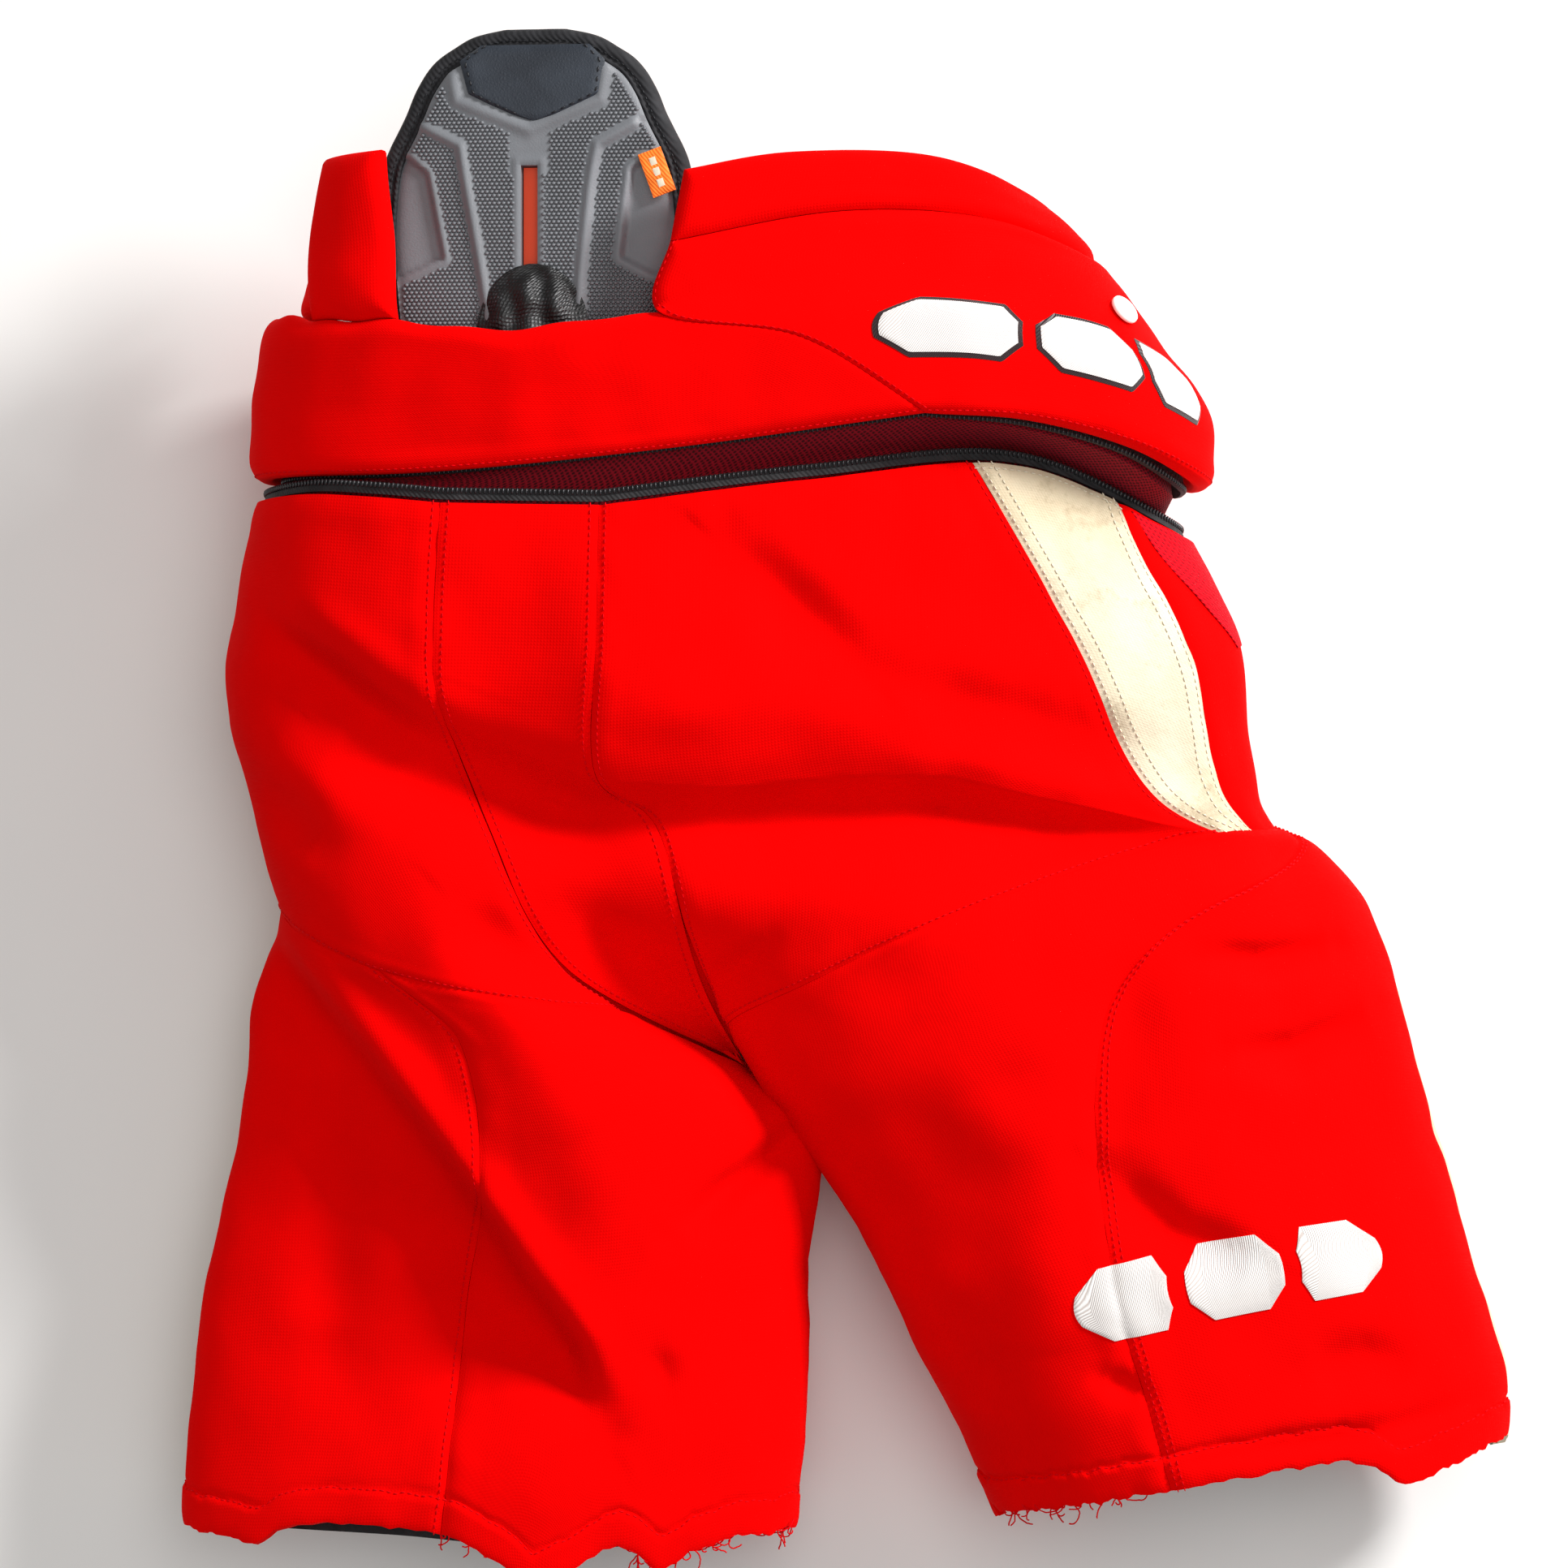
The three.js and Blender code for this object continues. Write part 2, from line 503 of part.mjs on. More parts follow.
function waist() {
  const pad = { thick: WAIST_PAD };
  panel("back_band", RED, BAND, { ...pad, from: [0], to: [1.1], v: [0, 2], cells: [13, 3] });
  panel("left_front_belt", RED, BAND, { ...pad, from: [1.1], to: [2], v: [0, 2], cells: [10, 3] });
  panel("right_hip_band", RED, WING, { ...pad, from: [0], to: [1.12], v: [0, 2.95], cells: [11, 6] });
  panel("right_kidney_wing", RED, WING, { ...pad, from: [0], to: [0.93], v: [2.95, 4], cells: [9, 3] });
  panel("right_front_belt", RED, WING, { ...pad, from: [1.12], to: [2], v: [0, 2], cells: [9, 4] });
  panel("left_kidney_wing", RED, BAND, {
    ...pad, from: [0.456, 0.48, 0.538], to: [0.685, 0.764, 0.811], v: [2, 4], cells: [4, 5],
  });
  panel("fly_tongue", RED, TONGUE, { thick: 8, from: [0], to: [1], v: [0, 1], cells: [4, 2] });
  panel("left_hip_wing", RED, HIP_WING, { thick: 12, from: [0.1], to: [1.2], v: [0, 2], cells: [6, 3] });
  const hidden = WAIST_PAD + LAYER_GAP;
  const tape = (depth) => [-1, TAPE_WIDTH - 1].map((rise) => roundWaist(BAND, WING, rise, depth, TAPE_CELLS));
  add("upper_zip_tape", between(tape(hidden), tape(hidden + TAPE_THICK)), BLACK);
  const below = TAPE_LIFT + TAPE_THICK + 6.5 * LAYER_GAP;
  const above = hidden + TAPE_THICK + 2.5 * LAYER_GAP;
  const mesh = (deeper) => [
    roundWaist(LEFT, RIGHT, 0, below + deeper, TAPE_CELLS),
    roundWaist(LEFT, RIGHT, TAPE_RISE + TAPE_WIDTH + LAYER_GAP / 2, below + deeper, TAPE_CELLS),
    roundWaist(BAND, WING, -1 - LAYER_GAP / 2, above + deeper, TAPE_CELLS),
    roundWaist(BAND, WING, TAPE_WIDTH - 1, above + deeper, TAPE_CELLS),
  ];
  add("extension_mesh", between(mesh(0), mesh(1)), MAROON);
}

// Embroidered marks: a long hexagon on the hip and one over the seam of the right leg.
function marks() {
  const raised = { depth: -MARK_THICK - 2 * FIT, thick: MARK_THICK };
  panel("hip_mark", WHITE, WING, {
    ...raised, from: [0.2, 0.12, 0.2], to: [0.84, 0.91, 0.84], v: [0.72, 1.5], cells: [10, 4],
  });
  panel("leg_mark", WHITE, RIGHT, {
    ...raised, from: [0.4, 0.376, 0.4], to: [0.71, 0.735, 0.71], v: [5.84, 6.4], cells: [8, 4],
  });
}

// ---------- spine guard ----------
// Half its width at each height above its hinge line.
const GUARD_OUTLINE = [[-12, 46], [-4, 57], [14, 64], [42, 70], [64, 72.5], [87, 74], [103, 73.5], [120, 71.5],
  [130, 68], [144, 61], [158, 55], [169, 47.5], [176, 38], [181.4, 28], [184.5, 14]];

function guardOutline(inset) {
  const side = GUARD_OUTLINE.map(([y, x]) => new THREE.Vector2(x, y));
  const round = [...side, ...side.toReversed().map((p) => new THREE.Vector2(-p.x, p.y))];
  return round.map((p, k) => {
    const before = round.at(k - 1).clone().sub(p).normalize();
    const after = round[(k + 1) % round.length].clone().sub(p).normalize();
    const along = after.sub(before).normalize();
    return [p.x - along.y * inset, p.y + along.x * inset];
  });
}

function spineGuard() {
  const guard = new THREE.Group();
  guard.position.set(GUARD_CENTRE_X, GUARD_HINGE_Y, GUARD_HEIGHT);
  guard.rotation.y = -GUARD_TILT;
  const put = (name, geometry, finish, z) => {
    const mesh = add(name, geometry, finish);
    mesh.position.z = z;
    guard.add(mesh);
    return mesh;
  };
  const slotTop = SLOT_TOP_Y - GUARD_HINGE_Y;
  const slot = (clear) => {
    const half = SLOT_WIDTH / 2 - clear;
    return rectangle(SLOT_X - half, slotTop - SLOT_LENGTH + clear, SLOT_X + half, slotTop - clear);
  };
  put("guard_board", plate(guardOutline(BINDING_WIDTH + FIT), GUARD_THICK, [slot(0)]), GREY, 0);
  put("guard_binding", plate(guardOutline(0), BINDING_THICK, [guardOutline(BINDING_WIDTH)]), BLACK, BINDING_RISE);
  put("guard_slot_insert", plate(slot(FIT), GUARD_THICK - 7), ORANGE, 2);
  const top = GUARD_THICK + FIT;
  const patch = [[-22, 176], [24, 176], [33, 169], [31.5, 154], [12, 144], [1, 141.5], [-8, 144], [-30, 154],
    [-34, 169]];
  put("guard_top_patch", plate(patch, TRIM_THICK), BLACK, top);
  const dome = Array.from({ length: 13 }, (_, k) => Math.PI * (k / 12));
  const sleeve = [[-26, 14], [26, 14], ...dome.map((a) => [26 * Math.cos(a), 50 + 26 * Math.sin(a)])];
  put("guard_mesh_sleeve", plate(sleeve, TRIM_THICK), BLACK, top);
  const tag = put("guard_tag", plate(rectangle(-5.5, -10.5, 5.5, 10.5), TRIM_THICK), ORANGE, top);
  tag.position.x = 57;
  tag.position.y = 117;
  tag.rotation.z = TAG_TURN;
  pants.add(guard);
}

// ---------- fastenings ----------
function buttons() {
  const profile = [[0, 0], [BUTTON_RADIUS - 1.5, 0], [BUTTON_RADIUS, 0.8], [BUTTON_RADIUS, BUTTON_THICK - 1],
    [BUTTON_RADIUS - 1, BUTTON_THICK], [0, BUTTON_THICK - 0.4]];
  const turned = profile.map(([r, z]) => new THREE.Vector2(r, z));
  const shape = () => new THREE.LatheGeometry(turned, 20).rotateX(Math.PI / 2);
  for (const [name, on, u, v] of [
    ["button_back_right", WING, 0.777, 2.05],
    ["button_back_left", BAND, 1.16, 1.6],
    ["button_front_right_outer", WING, 1.35, 1.55],
    ["button_front_right_inner", WING, 1.8, 1.65],
    ["button_front_left_outer", BAND, 1.5, 1.65],
    ["button_front_left_inner", BAND, 1.85, 1.65],
  ])
    mount(add(name, shape(), WHITE), on, u, v, { lift: FIT });
}

// The belt crosses the fly on the outside. Its plug slides out of the socket towards the wearer's right.
function belt() {
  const strap = { depth: -WEBBING_THICK - FIT, thick: WEBBING_THICK, v: [0.66, 1.33], cells: [6, 1] };
  panel("belt_left", BLACK, BAND, { ...strap, from: [1.68], to: [2] });
  panel("belt_right", BLACK, WING, { ...strap, from: [1.52], to: [2] });
  const middle = (BAND.point(2, 1).y + WING.point(2, 1).y) / 2;
  const left = BAND.point(2, 1).x + SEAM_GAP;
  const cavity = BUCKLE_LENGTH - 8;
  const half = BUCKLE_WIDTH / 2;
  const arm = half - 5;
  const deep = BUCKLE_LENGTH - cavity;
  const socket = [[0, -half], [BUCKLE_LENGTH, -half], [BUCKLE_LENGTH, -arm], [deep, -arm], [deep, arm],
    [BUCKLE_LENGTH, arm], [BUCKLE_LENGTH, half], [0, half]];
  const place = (mesh, x) => mesh.position.set(x, middle, BUCKLE_FLOOR);
  place(add("belt_socket", plate(socket, BUCKLE_THICK), PLASTIC), left);
  const reach = cavity - 2 * FIT;
  const tail = WING.point(2, 1).x - SEAM_GAP - left - BUCKLE_LENGTH;
  const tongue = arm - 2 * FIT;
  const plug = [[-reach, -tongue], [FIT, -tongue], [FIT, -half], [tail, -half], [tail, half], [FIT, half],
    [FIT, tongue], [-reach, tongue]];
  place(add("belt_plug", plate(plug, BUCKLE_THICK), PLASTIC), left + BUCKLE_LENGTH);
}

// The zip slider wraps the lower tape at the front. Its pull lies up the garment.
function zipSlider() {
  const tapeMiddle = TAPE_RISE + TAPE_WIDTH / 2;
  const up = LEFT.point(SLIDER_U, 0.01).distanceTo(LEFT.point(SLIDER_U, -0.01)) / 0.02;
  const v = -tapeMiddle / up;
  const [near, far] = [-TAPE_LIFT + 1, -TAPE_LIFT - TAPE_THICK - 1];
  const [low, high] = [-TAPE_WIDTH / 2 - 1.2, TAPE_WIDTH / 2 + 0.9];
  const wall = 1.2;
  const section = [[low, near], [high, near], [high, far], [low, far], [low, far - wall], [high + wall, far - wall],
    [high + wall, near + wall], [low, near + wall]];
  const along = plate(section.map(([y, z]) => [y, z]), SLIDER_LENGTH);
  const axes = [[0, 1, 0], [0, 0, 1], [1, 0, 0]].map((axis) => new THREE.Vector3(...axis));
  along.applyMatrix4(new THREE.Matrix4().makeBasis(...axes));
  along.translate(-SLIDER_LENGTH / 2, 0, 0);
  mount(add("zip_slider", along, METAL), LEFT, SLIDER_U, v);
  const root = high + wall + FIT;
  const end = root + PULL_LENGTH;
  const pull = [[-2.2, root], [2.2, root], [2.8, end - 3], [1.6, end], [-1.6, end], [-2.8, end - 3]];
  mount(add("zip_pull", plate(pull, wall).translate(0, 0, near), METAL), LEFT, SLIDER_U, v);
}

seat();
leg("right", RIGHT, LEG_TOP_RIGHT, HEM_RIGHT, { outer: [0.55, 0.447, 0.42, 0.4], stripe: [0.97, 1.16] });
leg("left", LEFT, LEG_TOP_LEFT, HEM_LEFT, { outer: [0.56, 0.545, 0.54, 0.536], stripe: [1.02, 1.2] });
waist();
marks();
spineGuard();
buttons();
belt();
zipSlider();

// The frame's origin is the bottom centre of the box round all of it.
const box = new THREE.Box3().setFromObject(pants);
const middle = box.getCenter(new THREE.Vector3());
pants.position.set(-middle.x, -middle.y, -box.min.z);

export default pants;
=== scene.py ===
"""Ice hockey pants lying on their front: cloth panels, padded waist, spine guard, zip, fastenings and stitching."""
import math

import bpy
import numpy as np
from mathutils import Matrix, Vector
from mathutils.bvhtree import BVHTree


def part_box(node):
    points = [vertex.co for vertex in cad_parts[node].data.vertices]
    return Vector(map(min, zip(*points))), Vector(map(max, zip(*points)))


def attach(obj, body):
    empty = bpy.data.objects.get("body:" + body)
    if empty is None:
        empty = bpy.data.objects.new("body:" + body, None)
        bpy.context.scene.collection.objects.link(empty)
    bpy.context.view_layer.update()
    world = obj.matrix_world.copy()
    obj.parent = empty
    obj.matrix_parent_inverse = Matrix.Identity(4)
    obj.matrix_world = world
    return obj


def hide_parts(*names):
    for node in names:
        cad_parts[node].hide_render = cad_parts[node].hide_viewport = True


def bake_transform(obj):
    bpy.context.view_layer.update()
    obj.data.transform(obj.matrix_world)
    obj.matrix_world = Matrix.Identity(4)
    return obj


bl_info = {
    "name": "Ice Hockey Pants",
    "version": (1, 0, 0),
    "blender": (4, 5, 0),
    "location": "View3D > Sidebar > Hockey Pants",
    "description": "Builds the cloth, padding, spine guard, zip and stitching of a pair of ice hockey pants",
    "category": "Object",
}

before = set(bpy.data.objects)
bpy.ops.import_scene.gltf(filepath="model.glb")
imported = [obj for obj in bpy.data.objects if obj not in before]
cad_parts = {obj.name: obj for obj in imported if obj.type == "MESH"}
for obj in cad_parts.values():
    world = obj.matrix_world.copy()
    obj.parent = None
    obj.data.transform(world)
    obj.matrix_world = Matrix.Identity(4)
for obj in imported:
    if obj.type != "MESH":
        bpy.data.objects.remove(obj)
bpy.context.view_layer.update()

# ---------- sizes, in millimetres ----------
FACE_CLOTH = 4  # nylon face with its foam backing
WAIST_PAD = 13
LAYER_GAP = 1.6
SEAT_CROWN = 148
WAIST_CROWN = 163
WAIST_FLOOR = 9
TAPE_WIDTH = 5.5
TAPE_THICK = 2
TAPE_RISE = 1.6
TAPE_LIFT = 3
GUARD_THICK = 13
GUARD_ORIGIN = (-144, 172, 121)
GUARD_TILT = 0.1
HEM_RIGHT = 8
HEM_LEFT = 9
JOIN_U = 0.36


def centre_shift():
    """The move from the pattern's own origin to the frame's, read off the tailbone pad."""
    low, high = (np.array(corner) * 1000 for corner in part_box("tailbone_pad"))
    middle = (low + high) / 2
    return np.array([middle[0] + 151, middle[1] - 87, high[2] - (SEAT_CROWN - 14)])


SHIFT = centre_shift()


def to_metres(points):
    """Points of the pattern in millimetres as points of the frame in metres."""
    return (np.asarray(points, float) + SHIFT) / 1000


# ---------- curves and skins ----------
def smooth(low, high, x):
    """A share from 0 at low to 1 at high, with level ends."""
    t = np.clip((x - low) / (high - low), 0, 1)
    return t * t * (3 - 2 * t)


def spline(points, t):
    """A Catmull-Rom curve through points, at each t counted from the first one. It runs on past both ends."""
    t = np.atleast_1d(np.asarray(t, float))
    p = np.asarray(points, float)
    if p.ndim == 2:
        p = np.broadcast_to(p, (len(t), *p.shape))
    last = p.shape[1] - 1
    p = np.concatenate([2 * p[:, :1] - p[:, 1:2], p, 2 * p[:, -1:] - p[:, -2:-1]], axis=1)
    i = np.clip(np.floor(t).astype(int), 0, last - 1)
    f = (t - i)[:, None]
    row = np.arange(len(t))
    a, b, d, e = (p[row, i + k] for k in range(4))
    return b + 0.5 * f * (d - a + f * (2 * a - 5 * b + 4 * d - e + f * (3 * b - a - 3 * d + e)))


def along(values, share):
    """A smooth curve through a list of numbers, at shares from 0 to 1 of its length."""
    values = np.asarray(values, float)
    share = np.asarray(share, float)
    if len(values) == 1:
        return np.full(share.shape, values[0])
    t = np.clip(share, 0, 1).ravel() * (len(values) - 1)
    return spline(values[:, None], t)[:, 0].reshape(share.shape)


def away_from(line, xy):
    """Signed distance of points from a line of points, positive on its left, and how far along it they are, 0 to 1."""
    line = np.asarray(line, float)
    start, run = line[:-1], np.diff(line, axis=0)
    rel = xy[:, None] - start
    t = np.clip((rel * run).sum(-1) / (run * run).sum(-1), 0, 1)
    off = rel - t[..., None] * run
    distance = np.hypot(off[..., 0], off[..., 1])
    k = distance.argmin(1)
    row = np.arange(len(xy))
    side = np.where(run[k, 0] * off[row, k, 1] - run[k, 1] * off[row, k, 0] < 0, -1, 1)
    return side * distance[row, k], (k + t[row, k]) / len(run)


# The deep crease under the seat, and the ridge where the left seat folds over the outer thigh.
SEAT_CREASE = [[-276, 95], [-234, 69], [-200, 43], [-162, 29], [-117, 11], [-56, 8], [-6, 13], [44, 13], [84, 4],
               [152, -9], [197, -15]]
THIGH_RIDGE = [[-267, -51], [-253, -75], [-212, -125], [-166, -189], [-124, -250], [-113, -288]]


def ridge_strength(xy):
    """How much of the ridge is left at points of the thigh: it dies out above the knee and at the seat."""
    past = (xy[:, 0] + 124) * 0.42 - (xy[:, 1] + 250) * 0.89
    return (1 - smooth(-36, 38, past)) * smooth(50, 90, -xy[:, 1])


def fold_depth(xy):
    """How far the seat's crease and the thigh's ridge draw the cloth down, in millimetres."""
    distance, share = away_from(SEAT_CREASE, xy)
    reach = np.where(distance > 0, 21, 42)
    valley = np.exp(-((distance / reach) ** 2)) * np.sin(np.pi * np.clip(share, 0.02, 0.98))
    distance, _ = away_from(THIGH_RIDGE, xy)
    return 20 * valley + 26 * smooth(-4, 24, -distance) * ridge_strength(xy)


class Skin:
    """A side of the garment, from its inner edge over the back (u 0 to 1) and under the front (u 1 to 2)."""

    def __init__(self, lines, crown, side, front=None, inner=(0, 0), floor=0, rounding=0.8, folded=False):
        self.lines = np.array(lines, float)
        self.front = self.lines if front is None else np.array(front, float)
        self.crown = np.array(crown, float)[:, None]
        self.inner = np.array(inner, float)[:, None]
        self.side, self.floor, self.rounding, self.folded = side, floor, rounding, folded
        across = self.lines[0, -1, 0] - self.lines[0, 0, 0]
        down = self.lines[-1, 0, 1] - self.lines[0, 0, 1]
        self.facing = (-1 if across > 0 else 1) * (1 if down < 0 else -1)

    def point(self, u, v):
        u, v = np.broadcast_arrays(np.asarray(u, float), np.asarray(v, float))
        shape = u.shape
        u, v = u.ravel(), v.ravel()
        rounded = np.clip(spline(self.inner, v)[:, 0], 0, 1)
        start = (np.pi / 2) * (1 - rounded)
        angle = start + (np.pi - start) * u
        above = np.sin(angle) > 0
        back, under = (spline(x.reshape(len(x), -1), v).reshape(len(v), -1, 2) for x in (self.lines, self.front))
        share = (np.cos(start) - np.cos(angle)) / (1 + np.cos(start))
        xy = spline(np.where(above[:, None, None], back, under), share * (back.shape[1] - 1))
        top = spline(self.crown, v)[:, 0] - (fold_depth(xy) if self.folded else 0)
        height = np.abs(np.sin(angle)) ** self.rounding
        z = self.side + (np.where(above, top, self.floor) - self.side) * height
        return np.column_stack([xy, z]).reshape(*shape, 3)

    def outward(self, u, v):
        u, v = np.broadcast_arrays(np.asarray(u, float), np.asarray(v, float))
        du = self.point(u + 0.02, v) - self.point(u - 0.02, v)
        dv = self.point(u, v + 0.02) - self.point(u, v - 0.02)
        normal = np.cross(du, dv) * self.facing
        return normal / np.maximum(np.linalg.norm(normal, axis=-1, keepdims=True), 1e-9)


class Nested(Skin):
    """The skin that lies a depth inside a closed leg, of the same shape."""

    def __init__(self, on, depth):
        self.on, self.depth = on, depth

    def point(self, u, v):
        u, v = np.broadcast_arrays(np.asarray(u, float), np.asarray(v, float))
        inside, outside = self.on.point(0 * u, v), self.on.point(0 * u + 1, v)
        centre = (inside + outside) / 2
        half = (outside - inside) / 2
        half[..., 2] = 0
        reach = np.linalg.norm(half, axis=-1, keepdims=True)
        p = self.on.point(u, v) - centre
        sideways = (p * half).sum(-1, keepdims=True) / reach**2
        height = np.abs(self.on.point(np.where(u < 1, 0.5, 1.5), v)[..., 2:] - centre[..., 2:])
        p = p - half * sideways * self.depth / reach
        p[..., 2:] -= p[..., 2:] / height * self.depth
        return p + centre

    def outward(self, u, v):
        return self.on.outward(u, v)


RIGHT = Skin(
    lines=[
        [[-115, 137], [-18, 149], [77, 156], [162, 125]],
        [[-116, 77], [-14, 81], [89, 82], [184, 69]],
        [[-117, 14], [-14, 14], [92, 12], [196, -1]],
        [[-89, -11], [13, -13], [115, -13], [222, -20]],
        [[-66, -89], [32, -70], [138, -56], [248, -54]],
        [[-13, -166], [73, -147], [165, -128], [268, -121]],
        [[24, -239], [104, -223], [195, -204], [288, -193]],
        [[52, -296], [130, -280], [218, -265], [306, -248]],
        [[68, -334], [146, -321], [225, -310], [313, -300]],
    ],
    front=[
        [[68, 137], [102, 148], [136, 148], [162, 125]],
        [[64, 77], [105, 79], [146, 79], [184, 69]],
        [[46, 14], [96, 12], [147, 7], [196, -1]],
        [[5, -35], [78, -28], [150, -22], [222, -20]],
        [[-60, -89], [38, -70], [142, -56], [248, -54]],
        [[-13, -166], [73, -147], [165, -128], [268, -121]],
        [[24, -239], [104, -223], [195, -204], [288, -193]],
        [[52, -296], [130, -280], [218, -265], [306, -248]],
        [[68, -334], [146, -321], [225, -310], [313, -300]],
    ],
    crown=[SEAT_CROWN, SEAT_CROWN + 3, SEAT_CROWN, SEAT_CROWN - 6, 138, 134, 132, 130, 126],
    inner=[0, 0, 0, 0.1, 0.8, 1, 1, 1, 1],
    side=60,
    folded=True,
)
LEFT = Skin(
    lines=[
        [[-187, 138], [-219, 141], [-250, 143], [-279, 141]],
        [[-190, 84], [-227, 82], [-261, 82], [-293, 84]],
        [[-188, 46], [-225, 43], [-261, 41], [-294, 39]],
        [[-166, -11], [-204, -13], [-242, -13], [-279, -7]],
        [[-132, -75], [-177, -71], [-225, -64], [-267, -51]],
        [[-52, -125], [-120, -117], [-200, -102], [-277, -79]],
        [[-22, -168], [-105, -166], [-196, -155], [-288, -138]],
        [[-19, -235], [-113, -239], [-208, -235], [-301, -223]],
        [[-23, -307], [-120, -311], [-217, -311], [-314, -301]],
        [[-25, -346], [-124, -352], [-223, -344], [-317, -343]],
    ],
    front=[
        [[-2, 137], [-94, 140], [-187, 142], [-279, 141]],
        [[-6, 84], [-102, 84], [-197, 84], [-293, 84]],
        [[-12, 46], [-106, 43], [-200, 41], [-294, 39]],
        [[-35, -11], [-116, -13], [-198, -13], [-279, -7]],
        [[-92, -74], [-150, -71], [-210, -64], [-267, -51]],
        [[-52, -125], [-120, -117], [-200, -102], [-277, -79]],
        [[-22, -168], [-105, -166], [-196, -155], [-288, -138]],
        [[-19, -235], [-113, -239], [-208, -235], [-301, -223]],
        [[-23, -307], [-120, -311], [-217, -311], [-314, -301]],
        [[-25, -346], [-124, -352], [-223, -344], [-317, -343]],
    ],
    crown=[SEAT_CROWN, SEAT_CROWN, SEAT_CROWN - 2, SEAT_CROWN - 10, 130, 124, 122, 120, 118, 116],
    inner=[0, 0, 0, 0.1, 0.6, 1, 1, 1, 1, 1],
    side=60,
    folded=True,
)

WAIST = {"side": 70, "floor": WAIST_FLOOR, "rounding": 0.6, "crown": [WAIST_CROWN, WAIST_CROWN]}
WAIST_SEAM = [[33, 178], [-24, 212], [-87, 223], [-82, 257], [-76, 288]]
BAND = Skin(
    lines=[
        [WAIST_SEAM[0], [-82, 162], [-193, 152], [-280, 152]],
        [WAIST_SEAM[1], [-115, 190], [-200, 187], [-277, 190]],
        [WAIST_SEAM[2], [-147, 217], [-210, 220], [-272, 227]],
        [WAIST_SEAM[3], [-145, 262], [-208, 262], [-262, 262]],
        [WAIST_SEAM[4], [-150, 300], [-205, 300], [-250, 300]],
    ],
    front=[
        [[5, 160], [-90, 155], [-187, 152], [-280, 152]],
        [[5, 205], [-90, 197], [-185, 191], [-277, 190]],
        [[5, 235], [-88, 232], [-180, 230], [-272, 227]],
        [[5, 262], [-84, 262], [-173, 262], [-262, 262]],
        [[5, 300], [-80, 300], [-165, 300], [-250, 300]],
    ],
    **WAIST,
)
WING = Skin(
    lines=[
        [WAIST_SEAM[0], [81, 176], [130, 165], [171, 149]],
        [WAIST_SEAM[1], [47, 214], [115, 202], [166, 181]],
        [WAIST_SEAM[2], [1, 240], [85, 236], [142, 215]],
        [WAIST_SEAM[3], [-6, 271], [62, 270], [116, 255]],
        [WAIST_SEAM[4], [-25, 297], [39, 297], [87, 283]],
    ],
    front=[
        [[62, 165], [100, 170], [137, 164], [171, 149]],
        [[62, 208], [98, 206], [133, 198], [166, 181]],
        [[62, 240], [90, 237], [117, 229], [142, 215]],
        [[62, 262], [80, 263], [98, 261], [116, 255]],
        [[62, 285], [70, 287], [79, 286], [87, 283]],
    ],
    **WAIST,
)
HIP_WING = Skin(
    lines=[
        [[-205, 231], [-225, 231], [-246, 231], [-262, 231]],
        [[-208, 248], [-225, 249], [-243, 249], [-256, 248]],
        [[-212, 264], [-225, 265], [-238, 265], [-249, 263]],
    ],
    crown=[98, 98, 96],
    side=52,
    floor=WAIST_FLOOR + WAIST_PAD + LAYER_GAP,
)

# ---------- folds that hands and gravity have pressed into the back ----------
# Each is a line of points, its depth, and its width on its right and on its left. A negative depth is a ridge.
FOLDS = [
    ([(-276, 8), (-246, -18)], 9, 12, 12),
    ([(-181, -45), (-147, -79)], 10, 16, 12),
    ([(-132, -49), (-100, -74), (-71, -98)], 12, 17, 12),
    ([(-66, -84), (-50, -74), (-37, -64)], 8, 5, 6),
    ([(-58, 119), (-25, 92), (5, 62)], 8, 20, 12),
    ([(1, 58), (75, 42), (153, 20)], 7, 20, 13),
    ([(161, -68), (190, -70), (225, -64)], 10, 9, 6),
    ([(172, -113), (205, -112), (244, -94)], 11, 11, 7),
    ([(132, -60), (122, -110), (116, -160)], 7, 16, 24),
    ([(119, -170), (150, -196), (187, -208)], 9, 15, 9),
    ([(116, -262), (134, -270)], 6, 6, 6),
    ([(209, -262), (236, -254), (262, -262)], 7, 14, 12),
    ([(149, -299), (248, -288), (313, -269)], 5, 5, 7),
    ([(-155, -214), (-130, -252), (-112, -290)], 9, 16, 9),
    ([(-84, -199), (-56, -172), (-29, -142)], 12, 10, 6),
    ([(-54, -112), (-50, -144)], 8, 7, 7),
    ([(-90, -250), (-86, -273)], 5, 8, 8),
    ([(-272, 92), (-225, 50), (-180, 24)], 8, 9, 12),
    ([(-240, 36), (-200, 12), (-150, 4)], 8, 20, 10),
    ([(-250, -120), (-238, -180), (-244, -250)], 7, 16, 16),
    ([(-180, -180), (-176, -240), (-186, -300)], 5, 12, 26),
    ([(60, -120), (90, -190), (100, -260)], -6, 26, 26),
    ([(-190, -20), (-150, -110), (-120, -160)], -7, 24, 24),
]


def ripple(points, size, seed):
    """Seeded smooth ripples from -1 to 1 about size mm apart."""
    rng = np.random.default_rng(seed)
    total = np.zeros(points.shape[:-1])
    for _ in range(9):
        turn = rng.uniform(0, np.pi)
        ahead = np.array([math.cos(turn), math.sin(turn), rng.uniform(-0.6, 0.6)])
        total += np.sin(points @ ahead * (2 * np.pi / (size * rng.uniform(0.7, 1.7))) + rng.uniform(0, 6.3))
    return total / 4


